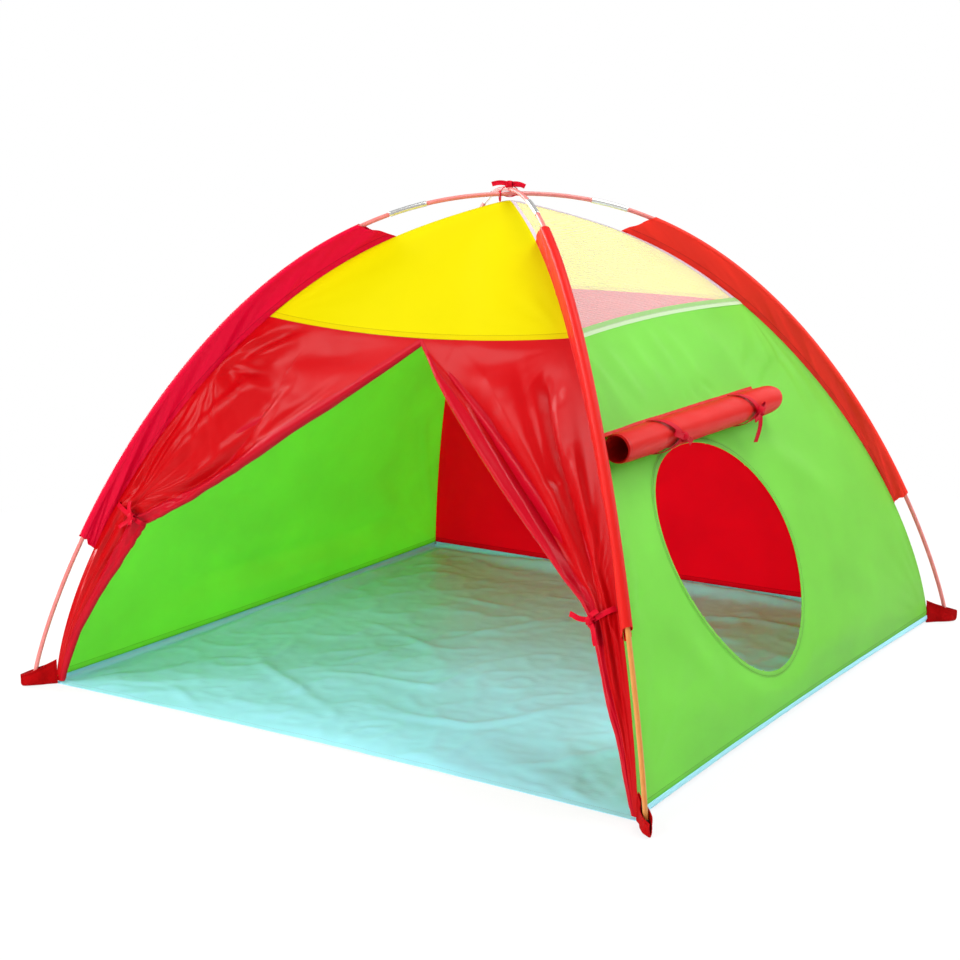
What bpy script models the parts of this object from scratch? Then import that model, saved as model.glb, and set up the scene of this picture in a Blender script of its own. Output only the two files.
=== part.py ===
"""Square dome play tent with crossed hoop poles, sewn walls, a window and a tied-back door.

Metres, +Z up. The origin is the middle of the floor, the door faces -Y and the window is in
the wall at +X. Corners are named as seen from the door: front_left is at -X, -Y.
"""

import math

import bmesh
import bpy
from mathutils import Matrix, Vector

# Tent body, sewn from single layers of cloth
floor_side = 1.200
tip_height = 0.852
seam_rise_share = 1.515
seam_bow_share = 0.588
cloth = 0.0010
edge_gap = 0.0004
wall_sag = 0.007
tip_hole = 0.004

# Roof hem, where the coloured roof meets the lower walls
hem_height_share = 0.770
hem_dip = 0.017
hem_gap = 0.0007
tape_width = 0.012

# Groundsheet, turned up at the three closed sides
skirt_height = 0.0145
sheet_thickness = 0.0010

# Pole hoops: seven hollow rods each, strung on an elastic cord
foot_gap = 0.0395
foot_height = 0.0075
crest_gap = 0.016
hoop_round_share = 2.2
hoop_flat_share = 0.813
rod_count = 7
rod_radius = 0.0040
rod_bore = 0.0021
rod_gap = 0.0003
cord_radius = 0.0012
ferrule_length = 0.070
ferrule_wall = 0.0007
slip_gap = 0.00035
cap_depth = 0.012
cap_floor = 0.0035
cap_wall = 0.0006

# Pole sleeves, folded cloth channels along the corner seams. The ends are given on the seam
# as shares of the tip's height, and on the pole as shares of the reach of its foot
sleeve_seam_shares = (0.292, 0.930)
sleeve_pole_shares = (0.887, 0.304)
sleeve_channel = 0.0072
sleeve_web_half = 0.0012
sleeve_stitch = 0.006

# Corner pockets, webbing pouches that hold the pole ends
pocket_past_pole = 0.0225
pocket_inner_height = 0.044
pocket_outer_height = 0.021
pocket_flat_half = 0.0016
pocket_cloth = 0.0012
pocket_round = 0.012

# Window, a leaning oval in the right-hand wall. Its middle, half width and lean are shares of
# half the floor side, and its height and half height are shares of the tip's height
window_middle_share = -0.192
window_half_width_share = 0.342
window_lean_share = 0.067
window_height_share = 0.323
window_half_height_share = 0.223

# Window cover, rolled up and hung by its top edge, which is sewn on above the window
cover_sew_gap = 0.055
cover_past_front = 0.087
cover_past_back = 0.075
roll_drop = 0.015
roll_radius = 0.0260
roll_stand = 0.0020
roll_cloth = 0.0012
roll_pitch = 0.0036
roll_turns = 3.0
cover_tie_shares = (0.24, 0.77)

# Door flaps, gathered to the sides. A tie's place is its share of half the floor side and of
# the tip's height
door_tip = 0.027
left_tie_shares = (0.737, 0.356)
right_tie_shares = (0.807, 0.311)
tie_rise = 0.030
flap_foot_height = 0.034
flap_foot_width = 0.020
fold_depth = 0.022
curl_radius = 0.012

# Ribbon ties
ribbon_width = 0.009
ribbon_thickness = 0.0010
ribbon_clear = 0.0011
knot_radius = 0.0075
tail_length = 0.050
loop_cord_radius = 0.0012
loop_offset = 0.018
loop_half_width = 0.0065

SQRT2 = math.sqrt(2)
half_floor = floor_side / 2
corner_reach = half_floor * SQRT2
hem_height = tip_height * hem_height_share
foot_reach = corner_reach + foot_gap
pocket_length = foot_gap + pocket_past_pole
crest_height = tip_height + crest_gap
crossing_rise = 2 * rod_radius + rod_gap
lower_crest = crest_height - crossing_rise / 2
upper_crest = crest_height + crossing_rise / 2
ferrule_bore = rod_radius + slip_gap
ferrule_radius = ferrule_bore + ferrule_wall
window_middle = half_floor * window_middle_share
window_half_width = half_floor * window_half_width_share
window_lean = half_floor * window_lean_share
window_height = tip_height * window_height_share
window_half_height = tip_height * window_half_height_share
cover_sew_height = window_height + window_half_height + cover_sew_gap
roll_height = cover_sew_height - roll_drop
roll_front = window_middle - window_half_width - cover_past_front
roll_back = window_middle + window_half_width + cover_past_back

# How finely the walls are divided
wall_rows = 9
roof_rows = 7
wall_columns = 10

# Headings of the four corners and turns of the four walls, in degrees
corners = {"front_left": 225, "front_right": 315, "back_right": 45, "back_left": 135}
wall_turns = {"front": 0, "right": 90, "back": 180, "left": 270}

colours = {
    "groundsheet_cloth": ((0.31, 0.68, 0.75), 0.45),
    "green_cloth": ((0.19, 0.64, 0.07), 0.50),
    "red_cloth": ((0.76, 0.02, 0.04), 0.50),
    "orange_red_cloth": ((0.86, 0.05, 0.03), 0.50),
    "yellow_cloth": ((0.95, 0.86, 0.01), 0.50),
    "white_mesh": ((0.85, 0.85, 0.80), 0.70),
    "pale_tape": ((0.75, 0.80, 0.60), 0.70),
    "red_webbing": ((0.55, 0.01, 0.01), 0.65),
    "ribbon_red": ((0.65, 0.01, 0.03), 0.45),
    "pole_fibreglass": ((0.80, 0.27, 0.25), 0.35),
    "ferrule_metal": ((0.80, 0.80, 0.82), 0.25),
    "pole_tip_plastic": ((0.03, 0.03, 0.03), 0.50),
    "elastic_cord": ((0.85, 0.85, 0.85), 0.80),
}


def clear_scene():
    for old in list(bpy.data.objects):
        bpy.data.objects.remove(old, do_unlink=True)


def make_material(name):
    colour, roughness = colours[name]
    material = bpy.data.materials.new(name)
    material.use_nodes = True
    shader = material.node_tree.nodes["Principled BSDF"]
    shader.inputs["Base Color"].default_value = (*colour, 1)
    shader.inputs["Roughness"].default_value = roughness
    shader.inputs["Metallic"].default_value = 1.0 if name == "ferrule_metal" else 0.0
    return material


def make_object(name, shape, colour, origin=None, parent=None, smooth=True):
    """A named piece from points and faces in world space, with its origin where it belongs."""
    points, faces = shape
    if origin is None:
        origin = sum(points, Vector()) / len(points)
    mesh = bpy.data.meshes.new(name)
    mesh.from_pydata([point - origin for point in points], [], faces)
    solid = bmesh.new()
    solid.from_mesh(mesh)
    bmesh.ops.recalc_face_normals(solid, faces=solid.faces)
    solid.to_mesh(mesh)
    solid.free()
    if smooth:
        mesh.shade_smooth()
        mesh.set_sharp_from_angle(angle=math.radians(40))
    mesh.materials.append(bpy.data.materials.get(colour) or make_material(colour))
    piece = bpy.data.objects.new(name, mesh)
    piece.location = origin
    bpy.context.scene.collection.objects.link(piece)
    if parent is not None:
        piece.parent = parent
        piece.location = origin - parent.location
    return piece


def make_hinge(name, place):
    """An empty on a joint's axis, which carries the pieces that swing with it."""
    hinge = bpy.data.objects.new(name, None)
    hinge.location = place
    hinge.empty_display_size = ribbon_width
    bpy.context.scene.collection.objects.link(hinge)
    return hinge


def boolean(piece, helper, operation):
    helper.hide_render = True
    helper.display_type = "WIRE"
    cut = piece.modifiers.new(operation.lower(), "BOOLEAN")
    cut.operation = operation
    cut.solver = "EXACT"
    cut.object = helper


def loft(sections, closed=False):
    """A solid through closed sections of equal count, with capped ends or run round in a ring."""
    count = len(sections[0])
    points = [point for section in sections for point in section]
    faces = []
    for k in range(len(sections) if closed else len(sections) - 1):
        low, high = k * count, (k + 1) % len(sections) * count
        for i in range(count):
            j = (i + 1) % count
            faces.append([low + i, low + j, high + j, high + i])
    if not closed:
        last = (len(sections) - 1) * count
        faces.append(list(range(count))[::-1])
        faces.append([last + i for i in range(count)])
    return points, faces


def hollow_loft(outer, inner):
    """A tube, open at both ends, between outer and inner sections of equal count."""
    count = len(outer[0])
    points = [point for section in outer + inner for point in section]
    shift = len(outer) * count
    faces = []
    for k in range(len(outer) - 1):
        for i in range(count):
            j = (i + 1) % count
            low, high = k * count, (k + 1) * count
            faces.append([low + i, low + j, high + j, high + i])
            faces.append([shift + low + j, shift + low + i, shift + high + i, shift + high + j])
    last = (len(outer) - 1) * count
    for i in range(count):
        j = (i + 1) % count
        faces.append([j, i, shift + i, shift + j])
        faces.append([last + i, last + j, shift + last + j, shift + last + i])
    return points, faces


def cloth_sheet(grid, thickness):
    """A closed sheet whose outer face holds the grid: rows go up, and columns go to the right."""
    rows, columns = len(grid), len(grid[0])
    behind = []
    for r in range(rows):
        for c in range(columns):
            across = grid[r][min(c + 1, columns - 1)] - grid[r][max(c - 1, 0)]
            up = grid[min(r + 1, rows - 1)][c] - grid[max(r - 1, 0)][c]
            behind.append(grid[r][c] - across.cross(up).normalized() * thickness)
    points = [point for row in grid for point in row] + behind
    shift = rows * columns
    faces = []
    for r in range(rows - 1):
        for c in range(columns - 1):
            at = r * columns + c
            quad = [at, at + 1, at + columns + 1, at + columns]
            faces.append(quad)
            faces.append([shift + index for index in reversed(quad)])
    rim = [c for c in range(columns)]
    rim += [r * columns + columns - 1 for r in range(1, rows)]
    rim += [(rows - 1) * columns + c for c in range(columns - 2, -1, -1)]
    rim += [r * columns for r in range(rows - 2, 0, -1)]
    for here, there in zip(rim, rim[1:] + rim[:1]):
        faces.append([there, here, shift + here, shift + there])
    return points, faces


def ribbon(path, side, width, thickness, closed=False):
    """A flat band along a path: side is the direction of its width at every point."""
    sections = []
    for k, point in enumerate(path):
        before = path[k - 1] if closed or k else point
        after = path[(k + 1) % len(path)] if closed or k < len(path) - 1 else point
        face = side.cross(after - before).normalized()
        across, lift = side * (width / 2), face * (thickness / 2)
        sections.append([point + across - lift, point + across + lift,
                         point - across + lift, point - across - lift])
    return loft(sections, closed)


def ball(middle, radii, axes, rings=5, sides=8):
    """A knot's rounded lump, with its radii along three axes at right angles."""
    sections = []
    for k in range(1, rings + 1):
        polar = math.pi * k / (rings + 1)
        ring = []
        for i in range(sides):
            turn = 2 * math.pi * i / sides
            offset = (math.sin(polar) * math.cos(turn), math.sin(polar) * math.sin(turn),
                      -math.cos(polar))
            ring.append(middle + sum((axis * radius * share for axis, radius, share
                                      in zip(axes, radii, offset)), Vector()))
        sections.append(ring)
    return loft(sections)


def turned(point, degrees):
    return Matrix.Rotation(math.radians(degrees), 3, "Z") @ point


def mix(first, last, share):
    return first + (last - first) * share


# The corner seams and the walls between them

def seam_curve(z):
    """Half the side of the tent's square plan at height z, on the smooth curve of the seams."""
    return half_floor * (1 - (z / tip_height) ** seam_rise_share) ** seam_bow_share


def seam_height(reach):
    """Height of a corner seam at this distance from the upright axis."""
    return tip_height * (1 - (reach / corner_reach) ** (1 / seam_bow_share)) ** (1 / seam_rise_share)


def seam_levels():
    """Heights at which every seam edge has its corners, so that neighbours keep an even gap."""
    low, top = skirt_height + edge_gap, seam_height(tip_hole * SQRT2)
    lower = [mix(low, hem_height, k / wall_rows) for k in range(wall_rows)]
    roof = [mix(hem_height, top, 1 - (1 - k / roof_rows) ** 2) for k in range(roof_rows + 1)]
    return [0] + lower + roof


def half_width(z):
    """Half the side of the tent's plan at height z, straight between the seam levels."""
    levels = seam_levels()
    for low, high in zip(levels, levels[1:]):
        if z <= high:
            return mix(seam_curve(low), seam_curve(high), (z - low) / (high - low))
    return mix(seam_curve(levels[-1]), 0, (z - levels[-1]) / (tip_height - levels[-1]))


def lean(z):
    """How far a wall leans in for each metre that it rises, at height z."""
    risen = z / tip_height
    bow = seam_bow_share * (1 - risen ** seam_rise_share) ** (seam_bow_share - 1)
    return half_floor * bow * seam_rise_share * risen ** (seam_rise_share - 1) / tip_height


def edge_inset(z):
    """Room that a wall leaves at its seam, so that it misses the next wall's thickness."""
    return edge_gap + cloth / math.sqrt(1 + lean(z) ** 2)


def wall_point(x, z):
    """A point on the front wall's outer face."""
    share = min(abs(x) / half_width(z), 1)
    sag = wall_sag * math.sin(math.pi * z / tip_height) * (1 - share ** 2)
    return Vector((x, sag - half_width(z), z))


def wall_normal(z):
    slope = lean(z)
    return Vector((0, -1, slope)).normalized()


def hem_line(share):
    """Height of the roof hem, from -1 at one seam to 1 at the other."""
    return hem_height - hem_dip * (1 - share ** 2)


def wall_grid(turn, bottom, top, rows, up_share=1):
    """Grid over one wall between two height lines, each a function of the place across it."""
    grid = []
    for r in range(rows + 1):
        row = []
        for c in range(wall_columns + 1):
            share = 2 * c / wall_columns - 1
            z = mix(bottom(share), top(share), 1 - (1 - r / rows) ** up_share)
            row.append(turned(wall_point(share * (half_width(z) - edge_inset(z)), z), turn))
        grid.append(row)
    return grid


def lower_wall(name, turn, colour):
    grid = wall_grid(turn, lambda share: skirt_height + edge_gap,
                     lambda share: hem_line(share) - hem_gap, wall_rows)
    return make_object(name, cloth_sheet(grid, cloth), colour)


def roof_panel(name, turn, colour):
    top = seam_height(tip_hole * SQRT2)
    grid = wall_grid(turn, hem_line, lambda share: top, roof_rows, up_share=2)
    return make_object(name, cloth_sheet(grid, cloth), colour)


def hem_tape(name, turn):
    """Binding tape over the joint between a mesh roof panel and the wall below it."""
    grid = []
    for lift_share in (-1, 1):
        row = []
        for c in range(wall_columns + 1):
            share = 2 * c / wall_columns - 1
            z = hem_line(share) + lift_share * tape_width / 2
            inner = half_width(z) - edge_inset(z) - edge_gap
            row.append(turned(wall_point(share * inner, z) + wall_normal(z) * (cloth + hem_gap), turn))
        grid.append(row)
    return make_object(name, cloth_sheet(grid, cloth), "pale_tape")


def window_wall():
    """The right-hand wall, with a leaning oval cut through it."""
    wall = lower_wall("right_side_panel", wall_turns["right"], "green_cloth")
    near, far = half_width(window_height) / 2, floor_side
    sections = []
    for x in (near, far):
        section = []
        for k in range(28):
            turn = 2 * math.pi * k / 28
            y = window_half_width * math.cos(turn) - window_lean * math.sin(turn)
            section.append(Vector((x, window_middle + y,
                                   window_height + window_half_height * math.sin(turn))))
        sections.append(section)
    cutter = make_object("window_cutter", loft(sections), "green_cloth")
    boolean(wall, cutter, "DIFFERENCE")
    return wall


def groundsheet():
    """A floor with its three closed sides turned up, and its front edge left flat."""
    half, deep = half_floor, sheet_thickness

    def box(low, high):
        corners_of = [Vector((x, y, low[2])) for x, y in
                      ((low[0], low[1]), (high[0], low[1]), (high[0], high[1]), (low[0], high[1]))]
        lifted = [point + Vector((0, 0, high[2] - low[2])) for point in corners_of]
        return loft([corners_of, lifted])

    sheet = make_object("groundsheet", box((-half, -half, 0), (half, half, skirt_height)),
                        "groundsheet_cloth", origin=Vector(), smooth=False)
    inside = make_object("groundsheet_cutter",
                         box((deep - half, -floor_side, deep), (half - deep, half - deep, tip_height)),
                         "groundsheet_cloth", smooth=False)
    boolean(sheet, inside, "DIFFERENCE")
    return sheet


# The pole hoops

def hoop_height(reach, crest):
    """Height of a hoop's centre line at this distance from the upright axis."""
    share = min(abs(reach) / foot_reach, 1)
    return foot_height + (crest - foot_height) * (1 - share ** hoop_round_share) ** hoop_flat_share


def hoop_line(crest):
    """Finely spaced points of half a hoop as (reach, height, distance along it) from its foot."""
    line, length = [], 0
    steps = 400
    for k in range(steps + 1):
        reach = foot_reach * math.cos(math.pi / 2 * k / steps)
        height = hoop_height(reach, crest)
        if line:
            length += math.hypot(reach - line[-1][0], height - line[-1][1])
        line.append((reach, height, length))
    return line


def along(line, distance):
    """(reach, height) at a distance along a line of finely spaced points."""
    for before, after in zip(line, line[1:]):
        if after[2] >= distance:
            share = (distance - before[2]) / (after[2] - before[2])
            return mix(before[0], after[0], share), mix(before[1], after[1], share)
    return line[-1][0], line[-1][1]


def hoop_stations(crest):
    """Places of a hoop's rings from foot to foot, and the index of each rod joint among them.

    Each rod has straight ends as deep as its ferrule, so that rods and ferrules share rings."""
    line = hoop_line(crest)
    half_length = line[-1][2]
    rod_length = 2 * half_length / rod_count
    grip = ferrule_length / 2
    distances = []
    for rod in range(rod_count):
        start = rod * rod_length
        distances.append(start)
        for step in range(5):
            distances.append(start + grip + (rod_length - 2 * grip) * step / 4)
    distances.append(2 * half_length)
    places = []
    for distance in distances:
        reach, height = along(line, min(distance, 2 * half_length - distance))
        places.append(Vector((reach if distance <= half_length else -reach, 0, height)))
    joints = [rod * 6 for rod in range(rod_count + 1)]
    return places, joints


def hoop_rings(places):
    """Direction of the hoop at each station, and the in-plane direction square to it."""
    frames = []
    for k in range(len(places)):
        ahead = (places[min(k + 1, len(places) - 1)] - places[k]).normalized()
        back = (places[k] - places[max(k - 1, 0)]).normalized()
        forward = (ahead + back).normalized()
        frames.append((forward, Vector((0, 1, 0)).cross(forward)))
    return frames


def circle(middle, outward, radius, sides):
    side = Vector((0, 1, 0))
    return [middle + outward * radius * math.cos(2 * math.pi * i / sides)
            + side * radius * math.sin(2 * math.pi * i / sides) for i in range(sides)]


def swivel(shape, heading):
    points, faces = shape
    return [turned(point, heading) for point in points], faces


def pole_hoop(letter, heading, crest):
    """One hoop: rods, the ferrules over their joints, a cap on each end and the cord inside."""
    places, joints = hoop_stations(crest)
    frames = hoop_rings(places)
    for rod in range(rod_count):
        first, last = joints[rod], joints[rod + 1]
        outer, inner = [], []
        for k in range(first, last + 1):
            pull = rod_gap / 2 if k == first else -rod_gap / 2 if k == last else 0
            middle = places[k] + frames[k][0] * pull
            outer.append(circle(middle, frames[k][1], rod_radius, 8))
            inner.append(circle(middle, frames[k][1], rod_bore, 8))
        make_object(f"pole_{letter}_rod_{rod + 1}", swivel(hollow_loft(outer, inner), heading),
                    "pole_fibreglass")
    for number, joint in enumerate(joints[1:-1], 1):
        outer, inner = [], []
        for k in (joint - 1, joint, joint + 1):
            outer.append(circle(places[k], frames[k][1], ferrule_radius, 8))
            inner.append(circle(places[k], frames[k][1], ferrule_bore, 8))
        make_object(f"pole_{letter}_ferrule_{number}", swivel(hollow_loft(outer, inner), heading),
                    "ferrule_metal")
    cord = [circle(place, frame[1], cord_radius, 5) for place, frame in zip(places, frames)]
    make_object(f"pole_{letter}_shock_cord", swivel(loft(cord), heading), "elastic_cord")
    for number, (end, next_one) in enumerate(((0, 1), (-1, -2)), 1):
        pole_cap(f"pole_{letter}_cap_{number}", places[end], places[next_one], heading)


def pole_cap(name, end, next_place, heading):
    """A cup over the pole's end, which keeps it from cutting through the corner pocket."""
    inward = (next_place - end).normalized()
    outward = Vector((0, 1, 0)).cross(inward)
    radius = rod_radius + slip_gap + cap_wall
    seat = end - inward * rod_gap
    profile = ((-cap_floor, radius * 0.6), (-cap_floor * 0.6, radius), (cap_depth, radius),
               (cap_depth, rod_radius + slip_gap), (0, rod_radius + slip_gap))
    sections = [circle(seat + inward * depth, outward, size, 8) for depth, size in profile]
    make_object(name, swivel(loft(sections), heading), "pole_tip_plastic")


# Sleeves and pockets at the corners

def seam_line():
    line, length = [], 0
    steps = 400
    for k in range(steps + 1):
        reach = corner_reach * math.cos(math.pi / 2 * k / steps)
        height = seam_height(reach)
        if line:
            length += math.hypot(reach - line[-1][0], height - line[-1][1])
        line.append((reach, height, length))
    return line


def distance_at(line, column, value):
    """Distance along a line where its reach (column 0) or height (column 1) passes a value."""
    for before, after in zip(line, line[1:]):
        if (before[column] - value) * (after[column] - value) <= 0:
            return after[2]
    return line[-1][2]


def pole_sleeve(name, heading, crest, colour):
    """A folded channel: its round outer edge holds the pole, its flat edge is sewn to the seam."""
    hoop, seam = hoop_line(crest), seam_line()
    low, high = (tip_height * share for share in sleeve_seam_shares)
    hoop_span = [distance_at(hoop, 0, foot_reach * share) for share in sleeve_pole_shares]
    seam_span = [distance_at(seam, 1, z) for z in (low, high)]
    side = Vector((0, 1, 0))
    outer, inner = [], []
    between = [z for z in seam_levels() if low + cloth < z < high - cloth]
    for seam_z in [low] + between + [high]:
        share = (distance_at(seam, 1, seam_z) - seam_span[0]) / (seam_span[1] - seam_span[0])
        pole_reach, pole_height = along(hoop, mix(*hoop_span, share))
        pole = Vector((pole_reach, 0, pole_height))
        sewn = Vector((half_width(seam_z) * SQRT2, 0, seam_z))
        web = sewn - pole
        width = web.length
        web.normalize()

        def section(radius, middle_half, end, end_half):
            half = [(-math.cos(math.radians(turn)) * radius, math.sin(math.radians(turn)) * radius)
                    for turn in (0, 50, 100)]
            half += [(width * 0.5, middle_half), (end, end_half)]
            loop = half + [(w, -v) for w, v in half[:0:-1]]
            return [pole + web * w + side * v for w, v in loop]

        outer.append(section(sleeve_channel + cloth, 0.5 * sleeve_channel + cloth,
                             width, sleeve_web_half))
        inner.append(section(sleeve_channel, 0.5 * sleeve_channel,
                             width - sleeve_stitch, sleeve_web_half - cloth))
    make_object(name, swivel(hollow_loft(outer, inner), heading), colour)


def corner_pocket(name, heading):
    """A webbing pouch, open at the top, that stands on the floor outside the corner."""
    inner_end = corner_reach + edge_gap
    bulge = rod_radius + slip_gap + cap_wall + edge_gap
    pole_share = (foot_reach - inner_end) / pocket_length
    outer, hollow = [], []
    steps = 10
    for k in range(steps + 1):
        share = k / steps
        reach = inner_end + pocket_length * share
        swell = math.exp(-((share - pole_share) / 0.24) ** 4)
        half = mix(pocket_flat_half, bulge + pocket_cloth, swell)
        top = mix(pocket_inner_height, pocket_outer_height, share)
        left = pocket_length * (1 - share)
        short = max(pocket_round - left, 0)
        bottom = pocket_round - math.sqrt(pocket_round ** 2 - short ** 2)
        outer.append([Vector((reach, -half, bottom)), Vector((reach, half, bottom)),
                      Vector((reach, half, top)), Vector((reach, -half, top))])
        if 0 < k < steps:
            room = half - pocket_cloth
            floor = bottom + pocket_cloth
            over = top + pocket_outer_height
            hollow.append([Vector((reach, -room, floor)), Vector((reach, room, floor)),
                           Vector((reach, room, over)), Vector((reach, -room, over))])
    pocket = make_object(name, swivel(loft(outer), heading), "red_webbing", smooth=False)
    room = make_object(f"{name}_cutter", swivel(loft(hollow), heading), "red_webbing", smooth=False)
    boolean(pocket, room, "DIFFERENCE")


# The door flaps and their ties

above_shares = (0.0, 0.14, 0.28, 0.42, 0.56, 0.69, 0.81, 0.91, 1.0)
below_shares = (0.10, 0.24, 0.42, 0.62, 0.81, 1.0)
tie_fold_share = 0.4
tie_curl_share = 0.45


def flap_stations(side, tie_shares):
    """Rows of a flap from hem to foot: seam height, door edge (x, z), fold, curl, fold style."""
    tie_reach, tie_height = half_floor * tie_shares[0], tip_height * tie_shares[1]
    seam_tie = tie_height + tie_rise
    tip_share = door_tip / half_width(hem_height)
    tip = (door_tip, hem_line(tip_share) - hem_gap)
    tie = (side * tie_reach, tie_height)
    foot = (side * (half_width(flap_foot_height) - flap_foot_width), flap_foot_height)
    rows = []
    for v in above_shares:
        fold = v ** 1.5 * (1 - (1 - tie_fold_share) * v ** 8)
        curl = tie_curl_share + (1 - tie_curl_share) * math.sin(math.pi * v)
        edge = (mix(tip[0], tie[0], v), mix(tip[1], tie[1], v))
        rows.append((mix(hem_height - hem_gap, seam_tie, v), edge, fold, curl, 0))
    for v in below_shares:
        fold = (tie_fold_share + 0.3 * math.sin(math.pi * v)) * (1 - v)
        curl = tie_curl_share - 0.15 * v + 0.2 * math.sin(math.pi * v)
        edge = (mix(tie[0], foot[0], v), mix(tie[1], foot[1], v))
        rows.append((mix(seam_tie, flap_foot_height, v), edge, fold, curl, v))
    return rows


def flap_row(side, station, top_row):
    """Points of one row, from the corner seam to the curled door edge."""
    seam_z, (edge_x, edge_z), fold_share, curl_share, single_share = station
    seam_x = side * (half_width(seam_z) - edge_inset(seam_z))
    seam, edge = wall_point(seam_x, seam_z), wall_point(edge_x, edge_z)
    toward_seam = (seam - edge).normalized()
    curl = curl_radius * curl_share
    width = (seam - edge).length
    row = []
    flat_columns = 12
    for c in range(flat_columns + 1):
        u = c / flat_columns
        across = mix(0, (width - curl) / width, u)
        x = mix(seam_x, edge_x, across)
        z = mix(seam_z, edge_z, across)
        if top_row:
            z = hem_line(abs(x) / half_width(hem_height)) - hem_gap
        wave = mix(math.sin(3 * math.pi * u) ** 2, math.sin(math.pi * u) ** 2, single_share)
        lift = fold_depth * fold_share * wave * (0.35 + 0.65 * u)
        row.append(wall_point(x, z) + wall_normal(z) * lift)
    normal = wall_normal(edge_z)
    for turn in (45, 0, -45, -90):
        angle = math.radians(turn)
        row.append(edge + toward_seam * curl * (1 - math.cos(angle))
                   + normal * curl * (math.sin(angle) - 1))
    return row


def flap_hinge(side):
    """A point on the flap's swing axis and its direction: the axis touches the bowed seam."""
    z = hem_height / 2
    place = Vector((side * half_width(z), -half_width(z), z))
    slope = lean(z)
    return place, Vector((-side * slope, slope, 1)).normalized()


def door_flap(name, side, tie_shares):
    hinge = make_hinge(f"{name}_hinge", flap_hinge(side)[0])
    stations = flap_stations(side, tie_shares)
    grid = [flap_row(side, station, k == 0) for k, station in enumerate(stations)]
    grid.reverse()
    if side > 0:
        grid = [row[::-1] for row in grid]
    make_object(name, cloth_sheet(grid, cloth), "red_cloth", origin=hinge.location.copy(),
                parent=hinge)
    door_tie(f"{name}_tie", side, stations[len(above_shares) - 1], hinge)


def door_tie(name, side, station, hinge):
    """A ribbon from the seam round the gathered cloth, knotted in front, with two tails."""
    seam_z, (edge_x, edge_z), fold_share, curl_share, _ = station
    seam_x = side * (half_width(seam_z) - edge_inset(seam_z))
    seam, edge = wall_point(seam_x, seam_z), wall_point(edge_x, edge_z)
    across = (edge - seam).normalized()
    width = (edge - seam).length
    normal = wall_normal(edge_z)
    down = across.cross(normal).normalized() * (1 if side < 0 else -1)
    front = fold_depth * fold_share + ribbon_clear
    back = 2 * curl_radius * curl_share + 1.8 * ribbon_clear
    round_end = ribbon_clear + curl_radius * curl_share
    past_edge = ribbon_width * 0.35 - curl_radius * curl_share * 0.6
    outline = ((0.05, 0.40), (0.16, 0.75), (0.45, 1.0), (0.70, 1.1), (0.88, 1.1))
    path = [seam + across * width * share + normal * front * rise for share, rise in outline]
    for turn in (50, 0, -50):
        angle = math.radians(turn)
        middle = (front - back) / 2
        path.append(edge + across * (round_end * math.cos(angle) + past_edge)
                    + normal * (middle + (front + back) / 2 * math.sin(angle)))
    path += [seam + across * width * share - normal * back * rise
             for share, rise in reversed(outline)]
    band = ribbon(path, down, ribbon_width, ribbon_thickness)
    knot_place = seam + across * width * 0.80 + normal * (front + knot_radius * 0.45)
    knot = ball(knot_place, (knot_radius, knot_radius * 0.8, knot_radius * 0.7),
                (across, down, normal))
    piece = make_object(name, knot, "ribbon_red", origin=hinge.location.copy(), parent=hinge)
    shapes = [band]
    for turn_share, length_share in ((-0.15, 1.0), (0.35, 0.75)):
        away = (down + across * turn_share).normalized()
        length = tail_length * length_share
        tail = [knot_place + away * length * share + normal * knot_radius * rise
                for share, rise in ((0.0, 0.0), (0.25, 0.5), (0.6, 0.35), (1.0, 0.2))]
        shapes.append(ribbon(tail, away.cross(normal).normalized(), ribbon_width * 0.8,
                             ribbon_thickness))
    for number, shape in enumerate(shapes):
        helper = make_object(f"{name}_strip_{number}", shape, "ribbon_red", parent=hinge)
        boolean(piece, helper, "UNION")


# The rolled window cover and its ties

def cover_places():
    """Sewing line, roll centre and the turn where the cloth meets the roll, in the XZ plane."""
    normal = Vector((1, 0, lean(roll_height))).normalized()
    centre = Vector((half_width(roll_height), 0, roll_height))
    centre += Vector((1, 0, 0)) * (roll_radius + roll_stand) / normal.x
    sewn = Vector((half_width(cover_sew_height) + 2 * edge_gap, 0, cover_sew_height))
    out = sewn - centre
    start = math.atan2(out.z, out.x) - math.acos(roll_radius / out.length)
    return sewn, centre, start


def sag_at(y, z):
    """How far the wall's face lies inside the straight line between its seams."""
    return half_width(z) + wall_point(y, z).y


def cover_roll(hinge):
    """Cloth from the sewn edge over the front of the roll, wound inwards in a spiral."""
    sewn, centre, start = cover_places()
    steps_per_turn = 14
    line = [sewn, sewn]
    for k in range(int(roll_turns * steps_per_turn) + 1):
        turn = start - 2 * math.pi * k / steps_per_turn
        radius = roll_radius - roll_cloth / 2 - roll_pitch * k / steps_per_turn
        line.append(centre + Vector((math.cos(turn), 0, math.sin(turn))) * radius)
    line[1] = mix(line[0], line[2], 0.4)
    side = Vector((0, 1, 0))
    sections = []
    lengths = 3
    for station in range(lengths + 1):
        y = mix(roll_front, roll_back, station / lengths)
        outer, inner = [], []
        for k, point in enumerate(line):
            ahead = line[min(k + 1, len(line) - 1)] - line[max(k - 1, 0)]
            lift = ahead.cross(side).normalized() * roll_cloth / 2
            shift = Vector((-sag_at(y, cover_sew_height), y, 0)) if k == 0 else Vector((0, y, 0))
            outer.append(point - lift + shift)
            inner.append(point + lift + shift)
        sections.append(outer + inner[::-1])
    return make_object("window_cover_roll", loft(sections[::-1]), "orange_red_cloth",
                       origin=hinge.location.copy(), parent=hinge)


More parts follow.
